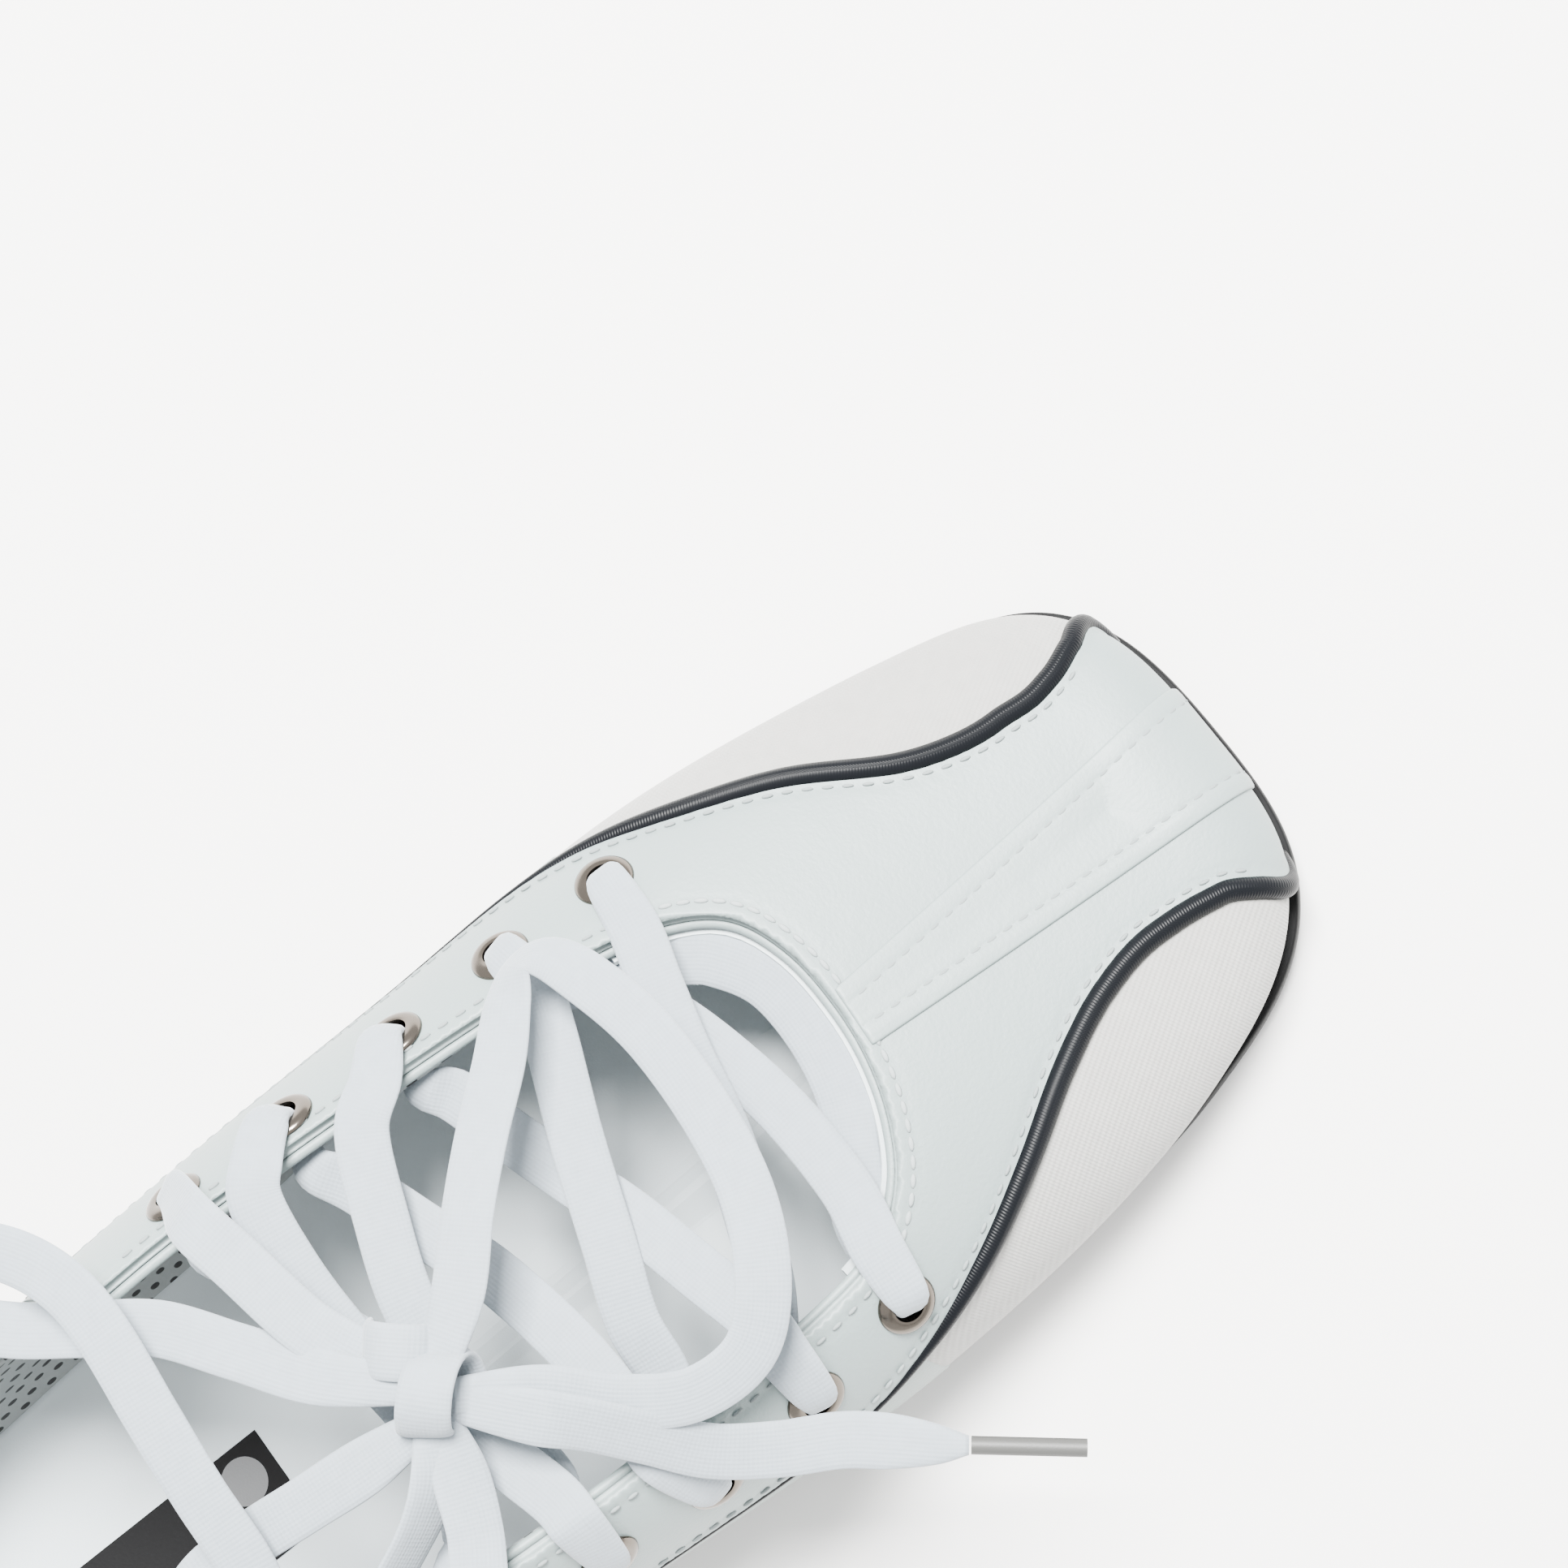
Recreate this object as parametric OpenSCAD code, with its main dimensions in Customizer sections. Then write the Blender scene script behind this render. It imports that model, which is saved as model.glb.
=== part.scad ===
// Low lace-up court shoe for the right foot: medial side +X, toe -Y, up +Z.
// The upper is a set of thin shells laid on one last-shaped surface.

/* [Size] */
// Length of the upper from toe to heel
shoe_length = 252; // [240:1:266]

/* [Upper] */
// Thickness of the white leather
leather_t = 1.4; // [1.2:0.1:1.6]
// Thickness of the raised strip along the toe
strip_t = 0.7; // [0.5:0.1:1.2]
// Diameter of the rolled piping at the toe
piping_d = 3.3; // [2.8:0.1:3.6]

/* [Lacing] */
// Outer diameter of an eyelet
eyelet_d = 8.7; // [8:0.1:9.2]
// Clear hole through an eyelet
eyelet_hole = 4.6; // [4.2:0.1:5]
// Width of the flat lace
lace_w = 7.4; // [6:0.2:8.6]
// Thickness of the flat lace
lace_t = 1.2; // [1:0.1:1.4]

/* [Sole] */
// Thickness of the outsole from the ball to the heel
outsole_t = 5.5; // [5.2:0.1:5.8]
// Thickness of the insole board
board_t = 1.8; // [1.5:0.1:2.2]
// Thickness of the sock liner
liner_t = 2.5; // [2:0.1:3]

/* [Hidden] */

// ---- the last: the surface that the outside of the leather lies on ----
// Rows are [distance from the toe, value], all in mm on a last of this length
LAST_L = 252;
MEDIAL_W = [[0, 31.2], [40, 40.5], [75, 45], [115, 43], [150, 41.5], [180, 39], [212, 36], [252, 34]];
LATERAL_W = [[0, 28], [40, 42], [85, 47], [130, 45], [170, 41], [212, 36.5], [252, 35]];
RIDGE_X = [[0, 1], [62, -3], [130, -4], [200, -1], [252, 0]];
RIDGE_Z = [[0, 16], [20, 23], [40, 30], [67, 41], [100, 53], [150, 68], [200, 76], [252, 80]];
GIRTH_Z = [[0, 12], [40, 14], [80, 16], [150, 22], [252, 26]];
FEATHER_Z = [[0, 8], [20, 6.5], [45, 5.5], [150, 8], [252, 11]];
FEATHER_IN = [[0, 0.8], [25, 2.5], [80, 3.5], [150, 7], [200, 4], [252, 2]];
FULLNESS = [[0, 2.1], [70, 2.5], [110, 3], [150, 3.8], [200, 4.2], [252, 4]];
CROWN = 2.2;
TOE_REACH = 27;
TOE_BLUNT = 3.3;
HEEL_REACH = 42;
HEEL_BLUNT = 2.1;
TOE_FAN = 18;
HEEL_FAN = 22;
// Share of the way up the skin that lies under the widest line
LOW = 0.2;

function slope(rows, i) =
  let (a = max(i - 1, 0), b = min(i + 1, len(rows) - 1))
  (rows[b][1] - rows[a][1]) / (rows[b][0] - rows[a][0]);

function row_of(rows, s, i = 0) =
  i >= len(rows) - 2 || s < rows[i + 1][0] ? i : row_of(rows, s, i + 1);

// Value of a table at s, on a smooth curve through its rows
function smooth(rows, s) =
  let (
    c = min(max(s, rows[0][0]), rows[len(rows) - 1][0]),
    i = row_of(rows, c),
    h = rows[i + 1][0] - rows[i][0],
    t = (c - rows[i][0]) / h
  )
  (2 * t^3 - 3 * t^2 + 1) * rows[i][1] + (t^3 - 2 * t^2 + t) * h * slope(rows, i)
    + (3 * t^2 - 2 * t^3) * rows[i + 1][1] + (t^3 - t^2) * h * slope(rows, i + 1);

// How far a blunt end has opened at share d of its reach
function opened(d, blunt) = (1 - (1 - min(max(d, 0), 1))^blunt)^(1 / blunt);

function half_width(s, side) =
  smooth(side > 0 ? MEDIAL_W : LATERAL_W, s) * opened(s / TOE_REACH, TOE_BLUNT)
    * opened((LAST_L - s) / HEEL_REACH, HEEL_BLUNT);

// Distance from the toe at share u of the outline, with small steps round the blunt toe
function station(u) = LAST_L / 2 * (1 - cos(180 * u^(TOE_BLUNT / 2)));
function share(s) = (acos(1 - 2 * s / LAST_L) / 180)^(2 / TOE_BLUNT);

function outline(u, side) = let (s = station(u)) [side * half_width(s, side), s];

// The ridge point that the skin climbs to from the outline at u
function ridge(u) =
  let (
    s = station(u),
    front = sqrt(s^2 + TOE_FAN^2),
    y = LAST_L - sqrt((LAST_L - front)^2 + HEEL_FAN^2 * (s / LAST_L)^4)
  )
  [smooth(RIDGE_X, y), y];

function climb(v) = 90 * max(v - LOW, 0) / (1 - LOW);

// Point of the skin: v runs from 0 at the feather edge to 1 on the ridge
function skin(u, side, v) =
  let (
    s = station(u),
    o = outline(u, side),
    q = ridge(u),
    under = max(LOW - v, 0) / LOW,
    in = v < LOW
      ? smooth(FEATHER_IN, s) * under^2 / norm(q - o)
      : 1 - cos(climb(v))^(2 / smooth(FULLNESS, s)),
    girth = smooth(GIRTH_Z, s),
    z = v < LOW
      ? girth - (girth - smooth(FEATHER_Z, s)) * under
      : girth + (smooth(RIDGE_Z, q.y) - girth) * sin(climb(v))^(2 / CROWN)
  )
  [o.x + (q.x - o.x) * in, o.y + (q.y - o.y) * in, z];

function fall(s) = smooth(GIRTH_Z, s) - smooth(FEATHER_Z, s);

// The same point on the plan, where the skin under the widest line is folded out flat
function plan(s, side, v) =
  let (
    u = share(s),
    o = outline(u, side),
    q = ridge(u),
    in = v < LOW
      ? -fall(s) * (1 - v / LOW)
      : norm(q - o) * (1 - cos(climb(v))^(2 / smooth(FULLNESS, s)))
  )
  o + (q - o) / norm(q - o) * in;

function turn(a, b) = a.x * b.y - a.y * b.x;

function side_of(d) =
  let (q = ridge(0))
  (d.y < q.y ? turn(q, d) <= 0 : d.x >= smooth(RIDGE_X, d.y)) ? 1 : -1;

function find_share(d, side, low = 0, high = 1, left = 18) =
  let (u = (low + high) / 2, o = outline(u, side))
  left == 0 ? u
    : side * turn(ridge(u) - o, d - o) < 0 ? find_share(d, side, u, high, left - 1)
    : find_share(d, side, low, u, left - 1);

// Point of the skin over a plan point
function over(d) =
  let (
    side = side_of(d),
    u = find_share(d, side),
    s = station(u),
    o = outline(u, side),
    q = ridge(u),
    in = (d - o) * (q - o) / norm(q - o),
    share_in = min(in / norm(q - o), 1),
    v = in < 0
      ? LOW * max(1 + in / fall(s), 0)
      : LOW + (1 - LOW) * acos((1 - share_in)^(smooth(FULLNESS, s) / 2)) / 90
  )
  skin(u, side, v);

// Outward direction of the skin over a plan point
function outward(d) =
  let (e = 0.4, n = cross(over(d + [e, 0]) - over(d - [e, 0]), over(d + [0, e]) - over(d - [0, e])))
  n / norm(n);

// The row frame: origin under the middle of the shoe
MIDDLE = [-0.8, LAST_L / 2 - 0.6];
function placed(p) = [p.x - MIDDLE.x, (p.y - MIDDLE.y) * shoe_length / LAST_L, p.z];

// ---- lines on the plan ----
// Upper edge of the side panels: [distance from the toe, share of the skin]
EDGE_MEDIAL = [
  [2, 0], [3.5, 0.2], [5.2, 0.5], [10, 0.665], [19, 0.72], [27, 0.725], [36, 0.695], [50, 0.595],
  [66, 0.515], [82, 0.42], [96, 0.36], [120, 0.33], [155, 0.33], [178, 0.4], [200, 0.42],
  [252, 0.55]
];
EDGE_LATERAL = [
  [2.5, 0], [4.2, 0.2], [6, 0.5], [9, 0.65], [19, 0.755], [31, 0.77], [43, 0.725], [55, 0.64],
  [68, 0.54], [82, 0.44], [96, 0.36], [120, 0.33], [155, 0.33], [178, 0.4], [200, 0.42],
  [252, 0.55]
];
PANEL_END = 84;
FACING_END = 178;
THROAT = [
  [28, 164], [29, 148], [28.8, 120], [28, 100], [26.2, 84], [23.5, 74], [18.5, 67], [10, 63.5],
  [0, 62.8], [-9, 63.9], [-17, 66.6], [-24, 71], [-29.5, 78], [-31.8, 88], [-33, 105],
  [-33.4, 130], [-32.5, 148], [-31, 164]
];
EYELETS_MEDIAL = [[34, 78], [34, 95], [33.6, 112.5], [33.2, 130], [33.4, 147.5]];
EYELETS_LATERAL = [[-37, 80], [-39.6, 97], [-40.4, 114], [-39.6, 130.5], [-38, 147.5]];

function edge_table(side) = side > 0 ? EDGE_MEDIAL : EDGE_LATERAL;
function edge_line(side, from, to, count) =
  let (a = share(from), b = share(to))
  [for (k = [0 : count])
    let (s = station(a + (b - a) * k / count))
    plan(s, side, smooth(edge_table(side), s))];

function backwards(list) = [for (i = [len(list) - 1 : -1 : 0]) list[i]];

// Distance walked along a line at each of its points
function walked(line) = [
  for (i = 0, t = 0; i < len(line); t = i + 1 < len(line) ? t + norm(line[i + 1] - line[i]) : t, i = i + 1) t
];

// The line cut into equal steps
function even(line, count) =
  let (t = walked(line), total = t[len(t) - 1], axes = len(line[0]))
  [for (k = [0 : count]) [for (a = [0 : axes - 1])
    lookup(total * k / count, [for (i = [0 : len(line) - 1]) [t[i], line[i][a]]])]];

// A smooth line through hand-set points
function curve(points, per) =
  let (last = len(points) - 1)
  [for (i = [0 : last - 1], k = [0 : per - 1])
    let (
      t = k / per,
      a = points[i],
      b = points[i + 1],
      ma = (b - points[max(i - 1, 0)]) / (i == 0 ? 1 : 2),
      mb = (points[min(i + 2, last)] - a) / (i + 1 == last ? 1 : 2)
    )
    (2 * t^3 - 3 * t^2 + 1) * a + (t^3 - 2 * t^2 + t) * ma + (3 * t^2 - 2 * t^3) * b + (t^3 - t^2) * mb,
    points[last]];

// The line moved to its left by gap, which is one number or one for each point
function beside(line, gap) =
  [for (i = [0 : len(line) - 1])
    let (along = line[min(i + 1, len(line) - 1)] - line[max(i - 1, 0)])
    line[i] + [-along.y, along.x] / norm(along) * (is_num(gap) ? gap : gap[i])];

// Lines from one edge to another; bias above 1 crowds the steps toward the first edge
function ladder(from, to, steps, bias = 1) =
  [for (k = [0 : len(from) - 1]) [for (j = [0 : steps]) from[k] + (to[k] - from[k]) * (j / steps)^bias]];

// ---- solids laid on the skin ----
function grid_normal(p, i, j) =
  let (
    a = p[min(i + 1, len(p) - 1)][j] - p[max(i - 1, 0)][j],
    b = p[i][min(j + 1, len(p[0]) - 1)] - p[i][max(j - 1, 0)],
    n = cross(a, b)
  )
  n / norm(n);

function quad(a, b, c, d) = [[a, b, c], [a, c, d]];

// A point of the skin with its outward direction, as one row of six numbers
function on_skin_row(u, side, v) =
  let (
    e = 0.002,
    a = skin(min(u + e, 1), side, v) - skin(max(u - e, 0), side, v),
    b = skin(u, side, min(v + e, 1)) - skin(u, side, max(v - e, 0)),
    n = cross(a, b) * side
  )
  concat(skin(u, side, v), n / norm(n));

function over_row(d) = concat(over(d), outward(d));
function spot(row) = [row[0], row[1], row[2]];
function facing(row) = [row[3], row[4], row[5]];

function over_grid(grid) = [for (line = grid) [for (d = line) over(d)]];

// A shell over a grid of skin points, between two distances from the skin
module shell(p, inner, outer) {
  rows = len(p);
  cols = len(p[0]);
  n = [for (i = [0 : rows - 1]) [for (j = [0 : cols - 1]) grid_normal(p, i, j)]];
  mid = [floor(rows / 2), floor(cols / 2)];
  centre = p[mid.x][mid.y];
  core = [0, min(max(centre.y, HEEL_REACH), LAST_L - HEEL_REACH), 0];
  sign = n[mid.x][mid.y] * (centre - core) > 0 ? 1 : -1;
  size = rows * cols;
  points = [for (h = [outer, inner], i = [0 : rows - 1], j = [0 : cols - 1])
    placed(p[i][j] + n[i][j] * sign * h)];
  rim = concat(
    [for (j = [0 : cols - 1]) j],
    [for (i = [1 : rows - 1]) i * cols + cols - 1],
    [for (j = [cols - 2 : -1 : 0]) (rows - 1) * cols + j],
    [for (i = [rows - 2 : -1 : 1]) i * cols]
  );
  faces = concat(
    [for (i = [0 : rows - 2], j = [0 : cols - 2])
      let (a = i * cols + j) each quad(a, a + 1, a + cols + 1, a + cols)],
    [for (i = [0 : rows - 2], j = [0 : cols - 2])
      let (a = size + i * cols + j) each quad(a, a + cols, a + cols + 1, a + 1)],
    [for (k = [0 : len(rim) - 1])
      let (a = rim[k], b = rim[(k + 1) % len(rim)]) each quad(a, a + size, b + size, b)]
  );
  polyhedron(points, sign > 0 ? faces : [for (f = faces) [f[2], f[1], f[0]]]);
}

// A closed tube through rings of points
module tube(rings) {
  sides = len(rings[0]);
  last = len(rings) - 1;
  polyhedron(
    [for (r = rings) each r],
    concat(
      [for (i = [0 : last - 1], k = [0 : sides - 1])
        let (a = i * sides + k, b = i * sides + (k + 1) % sides) each quad(a, b, b + sides, a + sides)],
      [for (k = [1 : sides - 2]) [0, k + 1, k]],
      [for (k = [1 : sides - 2]) [last * sides, last * sides + k, last * sides + k + 1]]
    )
  );
}

function along(line, i) =
  let (t = line[min(i + 1, len(line) - 1)] - line[max(i - 1, 0)]) t / norm(t);

// Rings of a cord that follows rows of the skin: radius is one number or one for each row
function cord_rings(line, depth, radius, sides) =
  let (p = [for (row = line) spot(row) + facing(row) * depth])
  [for (i = [0 : len(p) - 1])
    let (t = along(p, i), a = facing(line[i]), b = cross(t, a))
    [for (k = [0 : sides - 1])
      let (w = 360 * k / sides, r = is_num(radius) ? radius : radius[i])
      placed(p[i] + (a * cos(w) + b * sin(w)) * r)]];

// Puts children on the skin over a plan point, with Z outward
module on_skin(d) {
  p = placed(over(d));
  n = outward(d);
  x = cross([0, 1, 0], n) / norm(cross([0, 1, 0], n));
  y = cross(n, x);
  multmatrix([[x.x, y.x, n.x, p.x], [x.y, y.y, n.y, p.y], [x.z, y.z, n.z, p.z], [0, 0, 0, 1]])
    children();
}

// ---- sole ----
// Outward distance of the outsole edge from the widest line of the upper
SOLE_EDGE = [[0, 1.4], [12, 1.1], [30, 0], [60, -1.6], [110, -3.4], [160, -5], [205, -2.4], [252, 0.4]];
SPRING_FROM = 42;
SPRING_REACH = 660;
WEDGE_FROM = 95;
SKIN_BUILD = 4.2;
// Depths of the inner layers under the skin
STIFFENER = [-2.6, -1.9];
LINING = [-4.2, -3.4];

function sole_bottom(s) = s < SPRING_FROM ? (SPRING_FROM - s)^2 / SPRING_REACH : 0;

// A closed outline around the last: far is the outward distance at each distance from the toe
function around(far) = [
  for (side = [1, -1], k = [0 : 44])
    let (
      u = side > 0 ? k / 45 : 1 - k / 45,
      o = outline(u, side),
      q = ridge(u),
      p = o - (q - o) / norm(q - o) * smooth(far, o.y)
    )
    placed([p.x, p.y, 0])
];

function inside_feather(clear) = [for (r = FEATHER_IN) [r[0], -r[1] - SKIN_BUILD - clear]];

module slab(far, side_view) {
  intersection() {
    linear_extrude(height = 40)
      polygon([for (p = around(far)) [p.x, p.y]]);
    rotate([90, 0, 90])
      translate([0, 0, -60])
        linear_extrude(height = 120)
          polygon([for (p = side_view) [placed([0, p.x, 0]).y, p.y]]);
  }
}

function feather_steps(from, to, lift) =
  [for (k = [0 : 12]) let (s = from + (to - from) * k / 12) [s, smooth(FEATHER_Z, s) + lift]];

module outsole() {
  grooves_front = [48, 58, 68, 78, 88, 98];
  grooves_back = [196, 206, 216, 226];
  color("#1c1d1f")
    difference() {
      slab(SOLE_EDGE, concat(
        [for (k = [0 : 6]) let (s = -4 + (SPRING_FROM + 4) * k / 6) [s, sole_bottom(s)]],
        [[LAST_L + 6, 0], [LAST_L + 6, outsole_t], [WEDGE_FROM, outsole_t]],
        backwards(feather_steps(-4, WEDGE_FROM, -0.05))
      ));
      for (s = grooves_front) tread_groove(s, 56);
      for (s = grooves_back) tread_groove(s, 36);
    }
}

module tread_groove(s, w) {
  translate([placed([-4, 0, 0]).x - w / 2, placed([0, s, 0]).y - 1, -1])
    cube([w, 2, 2.2]);
}

module midsole() {
  far = [for (r = SOLE_EDGE) [r[0], r[1] - 0.4]];
  color("#2a2b2e")
    slab(far, concat(
      [[WEDGE_FROM + 0.1, outsole_t + 0.02], [LAST_L + 6, outsole_t + 0.02]],
      backwards(feather_steps(WEDGE_FROM + 0.1, LAST_L + 6, -0.05))
    ));
}

module layer(clear, low, high) {
  slab(inside_feather(clear), concat(
    feather_steps(-4, LAST_L + 6, low),
    backwards(feather_steps(-4, LAST_L + 6, high))
  ));
}

module insole_board() {
  color("tan") layer(0.3, 0, board_t);
}

module sock_liner() {
  color("#eef0f0") layer(0.5, board_t + 0.05, board_t + liner_t);
}

LABEL_SIZE = [17, 52];
LABEL_FROM = 172;
LABEL_T = 0.3;

module sock_label() {
  lift = board_t + liner_t + 0.02;
  ends = [for (s = [LABEL_FROM, LABEL_FROM + LABEL_SIZE.y])
    [placed([0, s, 0]).y, smooth(FEATHER_Z, s) + lift]];
  color("#202124")
    rotate([90, 0, 90])
      translate([0, 0, -LABEL_SIZE.x / 2])
        linear_extrude(height = LABEL_SIZE.x)
          polygon([ends[0], ends[1], ends[1] + [0, LABEL_T], ends[0] + [0, LABEL_T]]);
}

// ---- upper ----
function piping_radius(s) = smooth([[0, piping_d / 2], [66, piping_d / 2], [92, 0.8], [180, 0.7]], s);

function piping_gap(s) = piping_radius(s) + 0.1;

// Length of the skin from the feather edge to the ridge, near enough to turn a gap into a share
function climb_length(s) = smooth(LATERAL_W, s) + smooth(RIDGE_Z, s) - smooth(FEATHER_Z, s);

// Edge of the side panels beside the thick piping of the toe: way 1 is above it, -1 below
function beside_toe_piping(side, way, count) =
  let (line = edge_line(side, TOE_CORNER, PANEL_END, count))
  beside(line, [for (d = line) side * way * piping_gap(d.y)]);

function feather_line(side, from, to, count) =
  let (a = share(from), b = share(to))
  [for (k = [0 : count]) plan(station(a + (b - a) * k / count), side, 0)];

// Where the piping meets the sole, as a distance from the toe
TOE_CORNER = 3.4;
ARM_FROM = 90;

function arm_line(side) =
  [for (s = [ARM_FROM : 4 : FACING_END])
    plan(s, side, smooth(edge_table(side), s) + piping_gap(s) / climb_length(s))];

// Where lines across the vamp end on the throat: [share of its outer edge, share of the throat].
// They gather behind the toe, where the vamp is narrow between the two pipings
GATHER = [
  [0, 0], [0.23, 0.31], [0.29, 0.395], [0.355, 0.445], [0.4, 0.47], [0.42, 0.481], [0.5, 0.496],
  [0.58, 0.512], [0.615, 0.527], [0.68, 0.57], [0.77, 0.665], [1, 1]
];
ACROSS_VAMP = 62;
// Lines that start near the toe first head for this place between the two pipings
HUB = [-1, 40];
HUB_REACH = 60;
HUB_FADE = 30;
HUB_PULL = 0.8;

function vamp_line(from, to, steps, bias) =
  let (
    straight = (from + to) / 2,
    heading = from + (HUB - from) * HUB_PULL,
    control = straight + (heading - straight) * min(max((HUB_REACH - from.y) / HUB_FADE, 0), 1)
  )
  [for (j = [0 : steps])
    let (t = (j / steps)^bias)
    (1 - t)^2 * from + 2 * t * (1 - t) * control + t^2 * to];

module vamp() {
  outer = even(concat(
    backwards(arm_line(1)),
    backwards(beside_toe_piping(1, 1, 30)),
    backwards(feather_line(1, 0, TOE_CORNER - 1.6, 6)),
    feather_line(-1, 0.01, TOE_CORNER - 1.2, 6),
    beside_toe_piping(-1, 1, 30),
    arm_line(-1)
  ), ACROSS_VAMP);
  throat = even(curve(THROAT, 6), 1000);
  inner = [for (k = [0 : ACROSS_VAMP]) throat[round(1000 * lookup(k / ACROSS_VAMP, GATHER))]];
  color("#e6ebea")
    difference() {
      shell(over_grid([for (k = [0 : ACROSS_VAMP]) vamp_line(outer[k], inner[k], 11, 1.35)]), -leather_t, 0);
      eyelet_holes(concat(EYELETS_MEDIAL, EYELETS_LATERAL));
    }
}

module eyelet_holes(places) {
  for (d = places)
    on_skin(d)
      cylinder(d = eyelet_hole + 1, h = 8, center = true, $fn = 32);
}

module centre_strip() {
  front = [for (x = [8.8, 4.3, -0.2, -4.7, -9.2]) [x, -2.5]];
  back = [[1.6, 61.4], [-0.5, 61.3], [-2.6, 61.4], [-4.7, 61.6], [-6.8, 61.9]];
  color("#e9eeec")
    shell(over_grid(ladder(front, back, 18, 1.35)), 0.08, 0.08 + strip_t);
}

module canvas(side) {
  top = even(beside_toe_piping(side, -1, 40), 26);
  bottom = even(feather_line(side, TOE_CORNER + 0.6, PANEL_END, 30), 26);
  color("#e7e4df")
    shell(over_grid(ladder(bottom, top, 10)), -leather_t, -0.3);
}

// Stations from one distance to the heel end, crowded toward the heel
function to_heel(from, count) =
  [for (k = [0 : count]) LAST_L - (LAST_L - from) * (1 - k / count)^1.6];

// Skin points between two shares, which are tables over the distance from the toe
function band(side, stations, low, high, drop, rows) =
  [for (s = stations)
    let (top = smooth(high, s) - (drop + piping_gap(s)) / climb_length(s), u = share(s))
    [for (j = [0 : rows]) skin(u, side, low + (top - low) * j / rows)]];

module quarter(side) {
  color("#dde3e0")
    shell(band(side, to_heel(PANEL_END + 0.5, 34), 0, edge_table(side), 0, 9), -leather_t, -0.3);
}

module piping(side) {
  a = share(TOE_CORNER);
  b = share(FACING_END - 2);
  rows = [for (k = [0 : 90])
    let (u = a + (b - a) * k / 90) on_skin_row(u, side, smooth(edge_table(side), station(u)))];
  line = even(rows, 44);
  color("#23262b")
    tube(cord_rings(line, -0.3, [for (row = line) piping_radius(row.y)], 8));
}

// Places round the toe from the medial side to the lateral side, as [share, side]
function round_toe(to, count) =
  let (b = share(to))
  [for (k = [-count : count]) [b * abs(k) / count, k < 0 ? 1 : -1]];

module toe_puff() {
  color("#c9b48f")
    shell(
      [for (w = round_toe(38, 16)) [for (j = [0 : 9]) skin(w[0], w[1], 0.9 * j / 9)]],
      STIFFENER[0] - 0.2, STIFFENER[1] - 0.2
    );
}

// Places round the heel from the medial side to the lateral side, as [share, side]
function round_heel(from, count) =
  let (a = share(from))
  [for (k = [-count : count]) [1 - (1 - a) * abs(k) / count, k < 0 ? 1 : -1]];

module heel_counter() {
  places = round_heel(196, 14);
  color("#c9b48f")
    shell(
      [for (w = places) let (high = 0.28 + 0.12 * (w[0] - share(196)) / (1 - share(196)))
        [for (j = [0 : 6]) skin(w[0], w[1], high * j / 6)]],
      STIFFENER[0], STIFFENER[1]
    );
}

module backstay() {
  color("#e3e8e6")
    shell(
      [for (w = round_heel(246, 4)) [for (j = [0 : 9]) skin(w[0], w[1], 0.03 + 0.47 * j / 9)]],
      -0.2, 0.7
    );
}

module vamp_lining() {
  low = concat(backwards(feather_line(1, 0, 84, 20)), feather_line(-1, 0.01, 84, 20));
  front = [for (d = curve(THROAT, 6)) if (d.y < 84) d];
  color("#d8dbda")
    shell(over_grid(ladder(even(low, 32), even(beside(front, -1), 32), 10, 1.3)), LINING[0], LINING[1]);
}

// Upper edge of the quarter lining: under the facing, then down along the collar
LINING_TOP = [[86, 0.68], [120, 0.68], [158, 0.66], [170, 0.5], [182, 0.4], [200, 0.41], [252, 0.54]];

module quarter_lining(side) {
  color("#b9bdbd")
    shell(band(side, to_heel(86, 34), 0.02, LINING_TOP, 0, 10), LINING[0], LINING[1]);
}

// The throat from beside the second eyelet to its end, walked toward the heel
function throat_part(side) =
  let (line = curve(THROAT, 6), half = side > 0 ? backwards(line) : line)
  [for (d = half) if (d.x * side > 0 && d.y > 86) d];

module facing_stay(side) {
  line = even(throat_part(side), 18);
  color("#cfd2d0")
    difference() {
      shell(
        over_grid(ladder(beside(line, -side * 1.2), beside(line, -side * 10), 4)),
        STIFFENER[0], STIFFENER[1]
      );
      eyelet_holes([for (d = side > 0 ? EYELETS_MEDIAL : EYELETS_LATERAL) if (d.y > 90) d]);
    }
}

module facing_binding() {
  line = even([for (d = beside(curve(THROAT, 6), 0.2)) over_row(d)], 60);
  color("#eef1f0")
    tube(cord_rings(line, -2.3, 0.75, 6));
}

module collar_binding() {
  line = even([for (w = round_heel(182, 30))
    on_skin_row(w[0], w[1], smooth(EDGE_MEDIAL, station(w[0])))], 44);
  color("#e3e8e6")
    tube(cord_rings(line, -1.9, 1.4, 8));
}

// ---- eyelets ----
module eyelet() {
  flange = 1.5;
  rotate_extrude($fn = 40) {
    intersection() {
      translate([eyelet_d / 2 - flange, 0]) scale([1, 0.62]) circle(r = flange, $fn = 24);
      translate([eyelet_hole / 2, 0.02]) square([eyelet_d, 2]);
    }
    translate([eyelet_hole / 2, -3.2]) square([0.45, 3.6]);
  }
}

module eyelets(places) {
  color("#b9b6ae")
    for (d = places) on_skin(d) eyelet();
}

module washers(places) {
  color("#9b9890")
    for (d = places)
      on_skin(d)
        translate([0, 0, -3.25])
          difference() {
            cylinder(d = eyelet_d, h = 0.5, $fn = 40);
            translate([0, 0, -1]) cylinder(d = eyelet_hole + 0.96, h = 3, $fn = 40);
          }
}

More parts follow.
